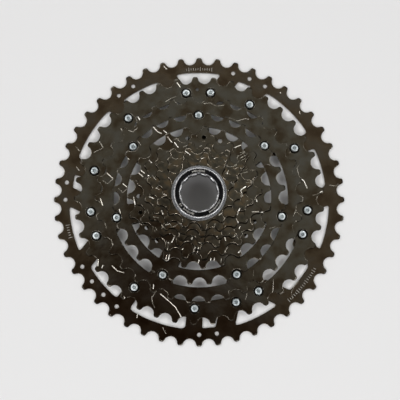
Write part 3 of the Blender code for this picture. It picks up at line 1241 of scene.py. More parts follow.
@dataclass
class ArmedSprocket(RivetedSprocket):
    """A sprocket whose rim stands on seven arms from a splined hub."""

    rim_widths: tuple[float, ...] = (5.0,) * 7
    hub_radius: float = 31.0 * MM
    arm_half_width: float = 6.4 * MM
    hub_turn: float = 5.0
    rim_turn: float = 4.0
    riveted: bool = False

    def windows(self) -> list[list[Vector]]:
        """The outlines of the windows between the arms.

        Returns:
            One outline to a window.
        """
        outlines: list[list[Vector]] = []
        for station, width in enumerate(self.rim_widths):
            rim = self.root - width * MM
            middle = STATIONS.angle(station) + STATIONS.pitch / 2
            at_rim = STATIONS.pitch / 2 - math.degrees(math.asin(self.arm_half_width / rim))
            at_hub = STATIONS.pitch / 2 - math.degrees(math.asin(self.arm_half_width / self.hub_radius))
            corners = [(polar(self.hub_radius, middle + at_hub), self.corner)]
            hub_end = at_hub - self.hub_turn
            rim_end = at_rim - self.rim_turn
            corners += [(p, 0.0) for p in arc(self.hub_radius, middle + hub_end, middle - hub_end, 3.0)]
            corners.append((polar(self.hub_radius, middle - at_hub), self.corner))
            corners.append((polar(rim, middle - at_rim), self.corner))
            corners += [(p, 0.0) for p in arc(rim, middle - rim_end, middle + rim_end, 2.0)]
            corners.append((polar(rim, middle + at_rim), self.corner))
            outlines.append(rounded(corners))
        return outlines

    def through_cuts(self) -> list[bpy.types.Object]:
        """The bore, the windows and any rivet holes.

        Returns:
            The cutters.
        """
        cutters = [self.through("bore", BORE.outline())]
        cutters += [self.through("window", outline) for outline in self.windows()]
        if self.riveted:
            cutters += self.holes(STATIONS.inner_rivets(), self.shank_hole)
        return cutters

    def recesses(self) -> list[bpy.types.Object]:
        """Recesses round the inner rivets' heads.

        Returns:
            The cutters.
        """
        return self.head_recesses(STATIONS.inner_rivets()) if self.riveted else []


def sprockets() -> list[Sprocket]:
    """All ten sprockets from the wheel side outwards, with the paths of their shifting steps, which carry
    painted highlights.

    Returns:
        The sprockets, ready to build.
    """
    return [
        LargestSprocket(
            48, 0.0, Body.UNIT, finish=RIM_NICKEL,
            dim_highlight_steps=(
                ((156.6, 91.2), (157.7, 87.8)),
                ((165.0, 86.2), (166.2, 83.4)),
                ((6.5, 88.5), (5.8, 92.7), (6.6, 95.0)),
                ((254.0, 88.8), (256.2, 92.2)),
                ((320.7, 86.3), (317.0, 86.3), (314.6, 87.7), (313.1, 91.3)),
            ),
            bright_highlight_steps=(
                ((104.8, 95.6), (103.8, 92.9)),
                ((41.6, 91.6), (40.5, 90.6)),
                ((53.2, 92.6), (52.6, 92.1)),
                ((241.9, 86.8), (242.4, 89.5)),
            ),
            holed_teeth=(8, 9, 10, 16, 17, 23, 24, 28, 29, 30, 31, 36, 37),
        ),
        SecondSprocket(
            41, 4.1, Body.UNIT,
            dim_highlight_steps=(
                ((149.9, 78.1), (151.7, 73.5), (156.0, 77.9)),
                ((137.7, 71.6), (139.0, 67.4)),
                ((19.0, 71.5), (17.7, 69.2), (14.0, 69.0), (12.3, 69.1)),
                ((2.0, 76.3), (2.2, 78.8), (3.1, 81.2)),
                ((109.0, 70.3), (105.8, 71.4), (102.4, 71.9)),
                ((245.4, 67.4), (244.4, 72.7), (246.2, 76.2), (248.0, 78.1)),
                ((312.7, 72.9), (309.2, 77.7), (307.8, 79.1), (304.3, 80.1)),
                ((334.2, 79.4), (331.9, 79.6)),
                ((296.9, 70.6), (294.5, 73.9)),
            ),
            bright_highlight_steps=(
                ((100.7, 81.3), (99.4, 77.5)),
                ((12.3, 69.1), (9.9, 71.6), (5.7, 73.0)),
                ((3.1, 81.2), (3.8, 83.1)),
                ((210.9, 78.3), (213.8, 81.1)),
                ((214.7, 77.6), (215.5, 79.6)),
                ((217.5, 73.2), (221.5, 72.6), (224.7, 70.1)),
                ((232.3, 81.6), (233.4, 82.6)),
                ((247.7, 68.2), (253.0, 70.6), (257.8, 73.8), (261.5, 79.6)),
            ),
        ),
        ArmedSprocket(
            34, 10.3, Body.UNIT,
            dim_highlight_steps=(
                ((251.3, 65.4), (252.6, 67.2)),
                ((287.9, 64.1), (287.0, 66.4)),
                ((167.0, 58.9), (170.8, 62.1), (169.5, 65.5)),
                ((194.0, 64.8), (198.0, 64.7)),
                ((205.0, 64.5), (208.9, 65.0)),
                ((87.3, 64.4), (83.6, 65.4), (79.5, 63.8), (74.9, 65.6)),
                ((69.7, 58.4), (63.6, 58.6), (60.5, 62.1), (57.9, 63.4)),
                ((355.6, 66.2), (349.1, 63.7)),
                ((307.1, 59.8), (304.8, 62.9)),
                ((226.0, 66.6), (228.3, 66.0), (231.0, 66.2)),
                ((135.8, 66.3), (134.7, 63.2), (131.0, 63.2)),
            ),
            bright_highlight_steps=(
                ((126.6, 69.0), (126.9, 66.3)),
                ((129.0, 68.6), (129.3, 65.9)),
                ((164.4, 64.3), (167.0, 58.9)),
                ((179.9, 66.0), (184.3, 64.4)),
                ((346.8, 66.0), (345.7, 67.0)),
                ((242.2, 64.4), (243.3, 67.4)),
            ),
            rim_widths=(7.9, 7.9, 5.6, 5.8, 7.9, 5.6, 7.9),
            hub_radius=40.0 * MM,
            arm_half_width=7.0 * MM,
            riveted=True,
        ),
        ArmedSprocket(
            28, 6.75, Body.LOOSE_28, above=(23, 7.1),
            dim_highlight_steps=(
                ((130.1, 56.2), (133.1, 56.4)),
                ((137.1, 55.5), (138.0, 52.2)),
                ((173.3, 54.0), (176.0, 50.7), (173.1, 48.2)),
                ((336.4, 50.7), (339.0, 54.0), (339.0, 57.2)),
                ((27.0, 49.4), (24.3, 53.0)),
            ),
            bright_highlight_steps=(
                ((150.4, 57.1), (151.3, 53.1)),
                ((122.8, 56.7), (122.0, 52.2), (120.1, 49.7)),
                ((169.5, 51.5), (171.7, 48.2)),
                ((188.2, 53.4), (195.0, 52.9)),
                ((117.8, 51.5), (116.4, 48.4)),
            ),
        ),
        Sprocket(
            23, 7.1, Body.LOOSE_23, relief_depth=0.45 * MM, lean=0.3 * MM, above=(20, 4.9),
            dim_highlight_steps=(
                ((305.2, 45.2), (308.4, 44.1)),
                ((347.9, 44.6), (349.6, 46.1)),
                ((289.9, 42.8), (288.2, 45.5)),
                ((165.0, 43.6), (167.3, 40.4)),
                ((47.4, 39.9), (44.2, 43.6)),
                ((44.6, 39.4), (41.8, 43.2)),
                ((41.8, 39.2), (39.2, 42.8)),
                ((202.3, 43.4), (206.8, 41.6)),
                ((46.5, 37.4), (44.5, 42.5)),
                ((17.3, 32.4), (14.8, 36.1), (17.9, 38.7), (19.8, 40.9)),
                ((203.9, 40.9), (207.0, 40.8)),
                ((320.9, 35.7), (320.4, 37.3), (315.0, 38.3)),
            ),
            bright_highlight_steps=(
                ((180.3, 43.1), (186.8, 42.4)),
                ((243.0, 42.5), (244.2, 47.0)),
                ((241.1, 43.6), (242.0, 46.4)),
                ((117.8, 45.6), (116.1, 40.4)),
                ((155.0, 43.2), (156.4, 39.2)),
                ((158.0, 43.4), (160.2, 39.2)),
                ((54.6, 40.4), (51.2, 44.6)),
                ((345.9, 40.2), (346.4, 43.4)),
                ((270.0, 41.2), (268.8, 44.6)),
                ((280.9, 40.8), (279.5, 44.6)),
                ((284.1, 41.2), (282.1, 45.0)),
                ((143.3, 41.1), (144.3, 38.7)),
                ((357.9, 37.8), (355.0, 38.2)),
                ((263.7, 37.8), (265.7, 33.1)),
                ((267.5, 37.6), (269.5, 33.0)),
                ((304.6, 44.8), (308.1, 44.4)),
                ((294.4, 40.2), (299.7, 37.8)),
            ),
            holed_teeth=(4, 5, 6, 9, 11, 12, 13, 14, 20, 21),
        ),
        Sprocket(
            20, 4.9, Body.LOOSE_20, relief_depth=0.5 * MM, lean=0.4 * MM, above=(17, 14.3),
            edge_glint_and_shade=BRONZE_EDGE_GLINT_AND_SHADE,
            dim_highlight_steps=(
                ((192.5, 37.0), (197.5, 36.4)),
                ((195.0, 34.9), (199.1, 34.7)),
                ((162.4, 39.4), (160.0, 35.2)),
                ((46.8, 37.9), (44.4, 34.6)),
                ((238.2, 37.6), (239.0, 34.6)),
                ((312.0, 38.4), (315.0, 34.4)),
                ((126.6, 36.5), (122.6, 35.5)),
                ((108.0, 34.3), (102.1, 34.7)),
                ((155.6, 33.9), (159.3, 30.2)),
                ((51.5, 26.8), (45.9, 27.2), (40.9, 29.9), (41.8, 32.9), (41.7, 35.5)),
                ((31.8, 31.6), (29.8, 36.2)),
                ((28.5, 31.3), (26.9, 35.9)),
                ((46.0, 36.8), (44.0, 41.9)),
                ((43.0, 36.7), (41.6, 41.2)),
                ((40.5, 36.6), (39.4, 40.7)),
                ((16.5, 32.0), (14.1, 35.7), (17.2, 38.3), (19.2, 40.5)),
                ((233.6, 36.4), (238.2, 38.3), (239.8, 41.4)),
                ((212.7, 36.1), (219.0, 36.9)),
                ((215.1, 35.1), (219.3, 35.4)),
                ((209.2, 30.7), (214.3, 31.2)),
                ((193.9, 35.0), (198.5, 34.7)),
                ((204.5, 40.9), (207.6, 40.8)),
                ((320.4, 35.7), (319.8, 37.4), (314.5, 38.3)),
                ((305.7, 32.2), (309.6, 31.1)),
                ((89.4, 32.9), (86.8, 33.7)),
            ),
            bright_highlight_steps=(
                ((114.4, 39.4), (112.9, 35.1)),
                ((264.6, 34.6), (263.9, 38.6)),
                ((269.0, 34.6), (267.9, 38.4)),
                ((343.4, 35.9), (345.5, 40.4)),
                ((156.8, 38.6), (157.8, 35.4)),
                ((239.5, 35.2), (238.8, 30.8)),
                ((263.7, 38.0), (265.8, 33.3)),
                ((267.5, 37.8), (269.6, 33.2)),
                ((252.3, 36.5), (253.4, 35.7)),
                ((260.4, 31.6), (261.5, 31.1)),
                ((231.2, 31.3), (233.2, 31.4)),
                ((236.6, 36.7), (237.0, 35.9)),
                ((320.6, 33.6), (323.7, 33.2)),
                ((301.7, 31.6), (300.8, 34.1)),
                ((294.1, 40.4), (299.4, 38.0)),
            ),
        ),
        Sprocket(
            17, 14.3, Body.LOOSE_17, relief_depth=0.6 * MM, lean=0.6 * MM, above=(15, 8.0),
            finish=BRONZE_NICKEL, edge_glint_and_shade=BRONZE_EDGE_GLINT_AND_SHADE,
            dim_highlight_steps=(
                ((41.0, 33.6), (39.0, 30.2)),
                ((34.1, 32.2), (30.4, 34.4)),
                ((31.1, 30.6), (27.6, 33.2)),
                ((238.4, 31.4), (240.1, 34.0)),
                ((324.7, 31.7), (326.9, 29.0)),
                ((205.0, 33.0), (209.0, 29.6)),
                ((125.0, 30.9), (123.3, 28.7), (119.6, 27.9)),
                ((156.3, 33.5), (160.1, 29.8)),
                ((50.9, 26.2), (45.2, 26.7), (40.2, 29.4), (41.2, 32.4), (41.1, 35.0)),
                ((15.7, 31.7), (13.4, 35.4), (16.5, 37.9), (18.6, 40.1)),
                ((210.0, 30.7), (215.1, 31.2)),
                ((305.2, 32.4), (309.1, 31.3)),
                ((352.7, 31.0), (354.9, 31.9)),
            ),
            bright_highlight_steps=(
                ((112.6, 34.2), (110.1, 30.6)),
                ((301.1, 31.2), (300.4, 33.6)),
                ((181.0, 32.6), (184.0, 29.4)),
                ((7.3, 27.2), (358.7, 28.5)),
                ((263.8, 38.2), (265.8, 33.6)),
                ((267.6, 38.0), (269.6, 33.5)),
                ((259.9, 29.1), (261.2, 27.5)),
                ((231.8, 31.4), (233.8, 31.6)),
                ((328.1, 28.3), (325.0, 31.2)),
                ((342.1, 27.7), (332.8, 27.8)),
            ),
        ),
        Sprocket(
            15, 8.0, Body.LOOSE_15, relief_depth=0.6 * MM, lean=0.7 * MM, above=(13, 25.4),
            finish=BRONZE_NICKEL, edge_glint_and_shade=BRONZE_EDGE_GLINT_AND_SHADE,
            dim_highlight_steps=(
                ((10.3, 30.2), (5.3, 27.1), (357.8, 28.1)),
                ((343.2, 28.1), (331.3, 28.0)),
                ((170.0, 29.0), (173.0, 25.6)),
                ((125.5, 30.3), (123.8, 28.1), (120.1, 27.3)),
                ((50.2, 25.7), (44.4, 26.2), (39.5, 28.9), (40.5, 31.9), (40.5, 34.4)),
                ((234.6, 22.8), (232.6, 25.5), (230.4, 26.8)),
                ((225.6, 26.5), (231.0, 27.7)),
                ((299.0, 21.4), (294.6, 23.7), (293.0, 26.2)),
                ((308.1, 24.9), (312.5, 24.3)),
            ),
            bright_highlight_steps=(
                ((107.6, 30.2), (102.3, 26.6)),
                ((222.0, 29.2), (225.0, 26.2)),
                ((37.0, 22.4), (39.8, 24.9)),
                ((6.3, 27.0), (10.4, 30.8)),
                ((6.3, 27.0), (357.7, 28.3)),
                ((68.0, 25.4), (66.1, 25.9)),
                ((202.7, 26.3), (209.1, 26.4)),
                ((292.0, 29.3), (293.8, 29.4)),
                ((341.2, 27.7), (331.9, 27.9)),
            ),
        ),
        BossedSprocket(
            13, 25.4, Body.LOOSE_13, relief_depth=0.6 * MM, lean=0.7 * MM, above=(11, 16.5),
            finish=BRONZE_NICKEL, edge_glint_and_shade=BRONZE_EDGE_GLINT_AND_SHADE,
            dim_highlight_steps=(
                ((167.1, 26.6), (174.2, 23.6)),
                ((292.0, 26.0), (296.0, 22.6)),
                ((49.5, 25.2), (43.7, 25.7), (38.7, 28.4), (39.9, 31.4), (39.9, 33.9)),
                ((6.0, 18.6), (10.7, 20.8), (14.8, 22.8), (20.8, 21.9)),
                ((264.1, 19.0), (273.9, 23.6)),
                ((298.4, 21.6), (294.1, 23.9), (292.6, 26.4)),
            ),
            bright_highlight_steps=(
                ((40.4, 26.0), (37.4, 23.2)),
                ((36.0, 22.0), (38.9, 24.5)),
                ((237.9, 22.3), (243.2, 23.5)),
            ),
        ),
        BossedSprocket(
            11, 16.5, Body.LOOSE_11, relief_depth=0.6 * MM, lean=0.7 * MM,
            finish=BRONZE_NICKEL, edge_glint_and_shade=BRONZE_EDGE_GLINT_AND_SHADE,
            dim_highlight_steps=(
                ((10.2, 21.8), (2.9, 18.9)),
                ((4.5, 18.5), (9.4, 20.6), (13.6, 22.6), (19.6, 21.6)),
            ),
            bright_highlight_steps=(
                ((181.0, 23.0), (183.7, 20.6)),
                ((39.7, 22.6), (35.0, 21.6)),
                ((319.4, 19.4), (311.5, 18.7)),
                ((87.5, 22.1), (82.2, 23.2)),
            ),
        ),
    ]


@dataclass
class RivetSet:
    """The shoulder rivets of one ring, each a copy with its own mesh."""

    label: str
    places: list[Vector]
    base: float
    spacing: float = PLATE_SPACING
    gap: float = 0.2 * MM
    tail_radius: float = 2.4 * MM
    shoulder_radius: float = 3.3 * MM
    shank_radius: float = 1.6 * MM
    head_radius: float = 2.4 * MM
    head_low: float = -0.25 * MM
    head_height: float = 0.8 * MM
    dimple_radius: float = 1.1 * MM
    dimple_depth: float = 0.9 * MM
    dimple_floor: float = 0.275 * MM
    dimple_lip: float = 0.25 * MM
    crown_drop: float = 0.12 * MM
    chamfer: float = 0.2 * MM
    steps: int = 28

    def profile(self) -> list[Vector]:
        """Half section of one rivet, with height 0 at the back of its back plate.

        Returns:
            The closed profile's points.
        """
        seat = self.spacing + PLATE_THICKNESS + self.head_low
        top = self.spacing + PLATE_THICKNESS + self.head_height
        hole = 0.05 * MM
        steps = (
            (hole, top - self.dimple_depth),
            (self.dimple_floor, top - self.dimple_depth),
            (self.dimple_radius, top - self.crown_drop),
            (self.dimple_radius + self.dimple_lip, top),
            (self.head_radius - 0.75 * MM, top),
            (self.head_radius - 0.22 * MM, top - self.crown_drop),
            (self.head_radius, top - 0.40 * MM),
            (self.head_radius, seat),
            (self.shank_radius, seat),
            (self.shank_radius, self.spacing - self.gap),
            (self.shoulder_radius - self.chamfer, self.spacing - self.gap),
            (self.shoulder_radius, self.spacing - self.gap - self.chamfer),
            (self.shoulder_radius, PLATE_THICKNESS + self.gap + self.chamfer),
            (self.shoulder_radius - self.chamfer, PLATE_THICKNESS + self.gap),
            (self.tail_radius, PLATE_THICKNESS + self.gap),
            (self.tail_radius, self.gap),
            (self.tail_radius - 0.3 * MM, self.gap / 2),
            (hole, self.gap / 2),
        )
        return [Vector(step) for step in steps]

    def build(self) -> list[bpy.types.Object]:
        """Models one rivet and copies it to every place.

        Returns:
            The finished rivets.
        """
        pattern = lathe(f"{self.label}_pattern", self.profile(), self.steps)
        self.close_poles(pattern)
        dress(pattern, (ZINC_PLATE,))
        select_only(pattern)
        bpy.ops.object.shade_smooth_by_angle(angle=math.radians(32))
        rivets = [self.copy(pattern, number, place) for number, place in enumerate(self.places, start=1)]
        bpy.data.objects.remove(pattern)
        return rivets

    def close_poles(self, pattern: bpy.types.Object) -> None:
        """Draws the two small rings at the axis to points.

        Args:
            pattern: The turned rivet.
        """
        for vertex in pattern.data.vertices:
            if vertex.co.xy.length < 0.1 * MM:
                vertex.co.xy = (0.0, 0.0)
        face_outwards(pattern)

    def copy(self, pattern: bpy.types.Object, number: int, place: Vector) -> bpy.types.Object:
        """One rivet with its place in its mesh.

        Args:
            pattern: The rivet to copy.
            number: Its number in the ring.
            place: Its centre.

        Returns:
            The finished rivet.
        """
        name = f"{self.label}_{number:02d}"
        rivet = bpy.data.objects.new(f"turned_{name}", pattern.data.copy())
        bpy.context.scene.collection.objects.link(rivet)
        for vertex in rivet.data.vertices:
            vertex.co += Vector((place.x, place.y, self.base))
        hand_in(rivet, Body.UNIT, (name,))
        return rivet


@dataclass
class SpacerRing:
    """A plain turned ring with broken edges, sized by its solid."""

    node: str
    body: Body
    finish: MetalFinish
    slot: Slot
    bore: float
    outer: float
    chamfer: float = 0.25 * MM
    steps: int = 96

    def build(self) -> bpy.types.Object:
        """Models the ring.

        Returns:
            The finished object.
        """
        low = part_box(self.node)[0][2]
        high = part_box(self.node)[1][2]
        c = self.chamfer
        profile = (
            (self.outer - c, high), (self.outer, high - c), (self.outer, low + c), (self.outer - c, low),
            (self.bore + c, low), (self.bore, low + c), (self.bore, high - c), (self.bore + c, high),
        )
        ring = lathe(f"turned_{self.node}", [Vector(p) for p in profile], self.steps)
        dress(ring, (self.finish,))
        select_only(ring)
        bpy.ops.object.shade_smooth_by_angle(angle=math.radians(30))
        hand_in(ring, self.body, (self.node,))
        return ring


@dataclass
class Lockring:
    """The lockring: a chamfered flange, a recessed band, tool splines and the sleeve."""

    flange_radius: float = 17.2 * MM
    sleeve_radius: float = 15.3 * MM
    bore_radius: float = 11.5 * MM
    flange_thickness: float = 2.6 * MM
    recess_depth: float = 0.5 * MM
    rim_width: float = 1.9 * MM
    lip_width: float = 1.1 * MM
    chamfer: float = 0.9 * MM
    thread_pitch: float = 1.058 * MM
    thread_depth: float = 0.3 * MM
    slots: int = 12
    slot_depth: float = 0.7 * MM
    slot_width: float = 3.0 * MM
    band_rise: float = 0.2 * MM
    band_margin: float = 0.12 * MM
    tick_half: float = 0.45 * MM
    long_tick_half: float = 0.75 * MM
    tick_rows: TickRows = (
        (76.0, 108.0, 14),
        (211.0, 217.0, 3),
        (226.0, 256.0, 12),
        (298.0, 340.0, 14),
    )
    steps: int = 240
    low: float = field(init=False)
    high: float = field(init=False)

    def __post_init__(self) -> None:
        """Takes the heights from the solid."""
        self.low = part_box("lockring")[0][2]
        self.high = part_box("lockring")[1][2]

    @property
    def floor(self) -> float:
        """Height of the recess's floor."""
        return self.high - self.recess_depth

    @property
    def lip(self) -> float:
        """Outer radius of the inner lip."""
        return self.bore_radius + self.lip_width

    @property
    def rim(self) -> float:
        """Inner radius of the outer rim."""
        return self.flange_radius - self.rim_width

    def profile(self) -> list[Vector]:
        """Half section with the ridges of the thread on the sleeve.

        Returns:
            The closed profile's points.
        """
        flange_low = self.high - self.flange_thickness
        points = [
            (self.rim + 0.15 * MM, self.high),
            (self.rim + 0.25 * MM, self.high),
            (self.rim + 0.90 * MM, self.high - 0.16 * MM),
            (self.rim + 1.02 * MM, self.high - 0.30 * MM),
            (self.flange_radius - 0.12 * MM, self.high - self.chamfer),
            (self.flange_radius, self.high - self.chamfer - 0.12 * MM),
            (self.flange_radius, flange_low + 0.2 * MM),
            (self.flange_radius - 0.2 * MM, flange_low),
            (self.sleeve_radius - self.thread_depth, flange_low),
        ]
        ridge = flange_low - 0.6 * MM
        while ridge - self.thread_pitch > self.low + 0.4 * MM:
            points.append((self.sleeve_radius - self.thread_depth, ridge))
            points.append((self.sleeve_radius, ridge - self.thread_pitch / 2))
            ridge -= self.thread_pitch
        points += [
            (self.sleeve_radius - self.thread_depth, ridge),
            (self.sleeve_radius - 0.8 * MM, self.low),
            (self.bore_radius + 0.3 * MM, self.low),
            (self.bore_radius, self.low + 0.3 * MM),
            (self.bore_radius, self.high - 0.32 * MM),
            (self.bore_radius + 0.15 * MM, self.high - 0.20 * MM),
            (self.lip, self.high),
            (self.lip, self.floor),
            (self.rim, self.floor),
            (self.rim, self.high - 0.15 * MM),
        ]
        return [Vector(p) for p in points]

    def build(self) -> None:
        """Models the lockring, its band and the band's ticks."""
        ring = lathe("turned_lockring", self.profile(), self.steps)
        carve(ring, [self.slot_cutter(number) for number in range(self.slots)])
        dress(ring, (SATIN_ALLOY, SATIN_ALLOY))
        soften(ring, 0.1 * MM, limit=50.0)
        hand_in(ring, Body.LOCKRING, ("lockring",))
        self.build_band()
        self.build_ticks()

    def slot_cutter(self, number: int) -> bpy.types.Object:
        """One tool slot.

        Args:
            number: Its number round the bore.

        Returns:
            The cutter.
        """
        middle = 360.0 * number / self.slots
        deep = self.bore_radius + self.slot_depth
        half = math.degrees(self.slot_width / 2 / deep)
        outline = arc(deep, middle - half, middle + half, 2.0)
        outline += arc(self.bore_radius - CUT_MARGIN, middle + half * 1.1, middle - half * 1.1, 4.0)
        return prism("tool_slot", outline, self.low - CUT_MARGIN, self.high + CUT_MARGIN)

    def build_band(self) -> None:
        """The black band that fills the recess."""
        inner, outer = self.lip + self.band_margin, self.rim - self.band_margin
        base, top = self.floor + 0.02 * MM, self.floor + self.band_rise
        c = 0.06 * MM
        profile = (
            (outer - c, top), (outer, top - c), (outer, base),
            (inner, base), (inner, top - c), (inner + c, top),
        )
        band = lathe("lockring_band", [Vector(p) for p in profile], self.steps)
        dress(band, (BLACK_BAND,))
        select_only(band)
        bpy.ops.object.shade_smooth_by_angle(angle=math.radians(30))
        hand_in(band, Body.LOCKRING)

    def build_ticks(self) -> None:
        """Plain ticks on the band, grouped as on a scale."""
        base, top = self.floor + self.band_rise - 0.03 * MM, self.floor + self.band_rise + 0.04 * MM
        middle = (self.lip + self.rim) / 2
        halves = (self.tick_half, self.long_tick_half)
        marks = tick_marks("lockring_ticks", self.tick_rows, middle, halves, (base, top))
        hand_in(marks, Body.LOCKRING)


def tick(degrees: float, start: float, end: float, low: float, high: float) -> bpy.types.Object:
    """A short radial bar.

    Args:
        degrees: Its angle.
        start: Inner radius.
        end: Outer radius.
        low: Height of its base.
        high: Height of its top.

    Returns:
        The bar.
    """
    half = 0.22 * MM
    along = polar(1.0, degrees)
    side = Vector((-along.y, along.x)) * half
    outline = [along * start - side, along * end - side, along * end + side, along * start + side]
    return prism("tick", outline, low, high)


def tick_marks(
    name: str, rows: TickRows, radius: float, halves: tuple[float, float], heights: tuple[float, float]
) -> bpy.types.Object:
    """Rows of radial ticks round the axis, each fifth one longer.

    Args:
        name: Name of the piece.
        rows: First angle, last angle and number of ticks of each row.
        radius: Radius of the ticks' middles.
        halves: Half the length of a tick and of a longer one.
        heights: Heights of the base and the top.

    Returns:
        The dressed piece.
    """
    bars: list[bpy.types.Object] = []
    for start, end, count in rows:
        for number in range(count):
            at = start + (end - start) * number / (count - 1)
            half = halves[0] if number % 5 else halves[1]
            bars.append(tick(at, radius - half, radius + half, *heights))
    marks = join(bars)
    marks.name = name
    dress(marks, (ETCHED_MARK,))
    soften(marks, 0.02 * MM)
    return marks


@dataclass
class RimTicks:
    """Rows of plain etched ticks on the front of the largest sprocket's rim."""

    rows: TickRows = ((84.5, 95.5, 12), (191.0, 196.5, 6), (311.5, 329.0, 17))
    radius: float = 90.2 * MM
    half: float = 0.8 * MM
    long_half: float = 1.3 * MM
    sunk: float = 0.05 * MM
    proud: float = 0.04 * MM

    def build(self) -> None:
        """Models the rows."""
        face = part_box("sprocket_48t")[1][2]
        heights = (face - self.sunk, face + self.proud)
        marks = tick_marks("rim_ticks", self.rows, self.radius, (self.half, self.long_half), heights)
        hand_in(marks, Body.UNIT)


OVERHEAD_STOPS: tuple[tuple[float, Colour], ...] = (
    (-0.30, (0.22, 0.19, 0.17)),
    (-0.10, (0.085, 0.055, 0.041)),
    (0.09, (0.130, 0.088, 0.064)),
    (0.165, (0.44, 0.41, 0.36)),
    (0.45, (0.55, 0.53, 0.48)),
)
HEIGHT_STOPS: tuple[tuple[float, Colour], ...] = (
    (0.70, (0.0, 0.0, 0.0)),
    (0.90, (1.0, 1.0, 1.0)),
)


@dataclass
class Studio:
    """The pale floor, the lamps and the camera."""

    aim: tuple[float, float, float] = (0.59 * MM, -0.21 * MM, 1.8 * MM)
    distance: float = 620.0 * MM
    elevation: float = 83.4
    lens: float = 82.68
    floor_size: float = 8.0
    floor_drop: float = 0.2 * MM
    floor_colour: Colour = (0.78, 0.78, 0.785)
    floor_glow: float = 0.04
    side_light: Colour = (0.25, 0.255, 0.265)
    world_strength: float = 1.0
    patch_aside: float = 0.05
    patch_spread: float = 1.1
    lamp_size: float = 0.34
    lamp_distance: float = 1.4
    sensor_width: float = 36.0

    def build(self) -> None:
        """Sets up everything that isn't part of the object."""
        self.add_floor()
        self.add_world()
        self.add_lamps()
        self.add_camera()
        bpy.context.scene.view_settings.view_transform = "Standard"

    def add_floor(self) -> None:
        """The plain pale floor."""
        select_only(None)
        bpy.ops.mesh.primitive_plane_add(size=self.floor_size, location=(0, 0, -self.floor_drop))
        floor = bpy.context.active_object
        floor.name = "floor"
        paint = bpy.data.materials.new("floor_paint")
        paint.use_nodes = True
        shader = paint.node_tree.nodes["Principled BSDF"]
        shader.inputs["Base Color"].default_value = (*self.floor_colour, 1.0)
        shader.inputs["Roughness"].default_value = 0.9
        shader.inputs["Specular IOR Level"].default_value = 0.1
        self.lift_floor(paint.node_tree, shader)
        floor.data.materials.append(paint)

    def lift_floor(self, tree: bpy.types.NodeTree, shader: bpy.types.Node) -> None:
        """Gives the floor a small share of its plain colour where it is seen, and keeps the shadow.

        Args:
            tree: The floor material's nodes.
            shader: The floor's Principled node.
        """
        path = tree.nodes.new("ShaderNodeLightPath")
        seen = path.outputs["Is Camera Ray"]
        for kind in ("Is Glossy Ray", "Is Transmission Ray"):
            either = tree.nodes.new("ShaderNodeMath")
            either.operation = "MAXIMUM"
            tree.links.new(seen, either.inputs[0])
            tree.links.new(path.outputs[kind], either.inputs[1])
            seen = either.outputs["Value"]
        share = tree.nodes.new("ShaderNodeMath")
        share.operation = "MULTIPLY"
        share.inputs[1].default_value = self.floor_glow
        tree.links.new(seen, share.inputs[0])
        glow = tree.nodes.new("ShaderNodeEmission")
        glow.inputs["Color"].default_value = (*self.floor_colour, 1.0)
        mix = tree.nodes.new("ShaderNodeMixShader")
        tree.links.new(share.outputs["Value"], mix.inputs["Fac"])
        tree.links.new(shader.outputs["BSDF"], mix.inputs[1])
        tree.links.new(glow.outputs["Emission"], mix.inputs[2])
        tree.links.new(mix.outputs["Shader"], tree.nodes["Material Output"].inputs["Surface"])

    def add_world(self) -> None:
        """Pale light from the sides, dimmer overhead, with a dark brown patch behind the camera."""
        world = bpy.data.worlds.new("studio")
        world.use_nodes = True
        tree = world.node_tree
        parts = tree.nodes.new("ShaderNodeSeparateXYZ")
        tree.links.new(tree.nodes.new("ShaderNodeTexCoord").outputs["Generated"], parts.inputs["Vector"])
        span = (OVERHEAD_STOPS[0][0], OVERHEAD_STOPS[-1][0])
        overhead = self.world_ramp(tree, self.front_share(tree, parts), span, OVERHEAD_STOPS)
        height = self.world_ramp(tree, parts.outputs["Z"], (0.0, 1.0), HEIGHT_STOPS)
        mix = tree.nodes.new("ShaderNodeMix")
        mix.data_type = "RGBA"
        mix.inputs["A"].default_value = (*self.side_light, 1.0)
        tree.links.new(height, mix.inputs["Factor"])
        tree.links.new(overhead, mix.inputs["B"])
        background = tree.nodes["Background"]
        tree.links.new(mix.outputs["Result"], background.inputs["Color"])
        background.inputs["Strength"].default_value = self.world_strength
        bpy.context.scene.world = world

    def front_share(self, tree: bpy.types.NodeTree, parts: bpy.types.Node) -> bpy.types.NodeSocket:
        """How far a direction lies from the dark patch behind the camera, which narrows to the back.

        Args:
            tree: The world's nodes.
            parts: The node with the parts of the direction.

        Returns:
            The value socket.
        """
        aside = tree.nodes.new("ShaderNodeMath")
        aside.operation = "ADD"
        aside.inputs[1].default_value = self.patch_aside
        width = tree.nodes.new("ShaderNodeMath")
        width.operation = "ABSOLUTE"
        share = tree.nodes.new("ShaderNodeMath")
        share.operation = "MULTIPLY_ADD"
        share.inputs[1].default_value = self.patch_spread
        tree.links.new(parts.outputs["X"], aside.inputs[0])
        tree.links.new(aside.outputs["Value"], width.inputs[0])
        tree.links.new(width.outputs["Value"], share.inputs[0])
        tree.links.new(parts.outputs["Y"], share.inputs[2])
        return share.outputs["Value"]

    def world_ramp(
        self,
        tree: bpy.types.NodeTree,
        value: bpy.types.NodeSocket,
        span: Polar,
        stops: Sequence[tuple[float, Colour]],
    ) -> bpy.types.NodeSocket:
        """Colours along one part of the direction.

        Args:
            tree: The world's nodes.
            value: The part of the direction.
            span: Its values at the ends of the ramp.
            stops: Values with their colours.

        Returns:
            The colour socket.
        """
        spread = tree.nodes.new("ShaderNodeMapRange")
        spread.inputs["From Min"].default_value = span[0]
        spread.inputs["From Max"].default_value = span[1]
        tree.links.new(value, spread.inputs["Value"])
        ramp = tree.nodes.new("ShaderNodeValToRGB")
        elements = ramp.color_ramp.elements
        while len(elements) < len(stops):
            elements.new(0.5)
        for element, (at, colour) in zip(elements, stops):
            element.position = (at - span[0]) / (span[1] - span[0])
            element.color = (*colour, 1.0)
        tree.links.new(spread.outputs["Result"], ramp.inputs["Fac"])
        return ramp.outputs["Color"]

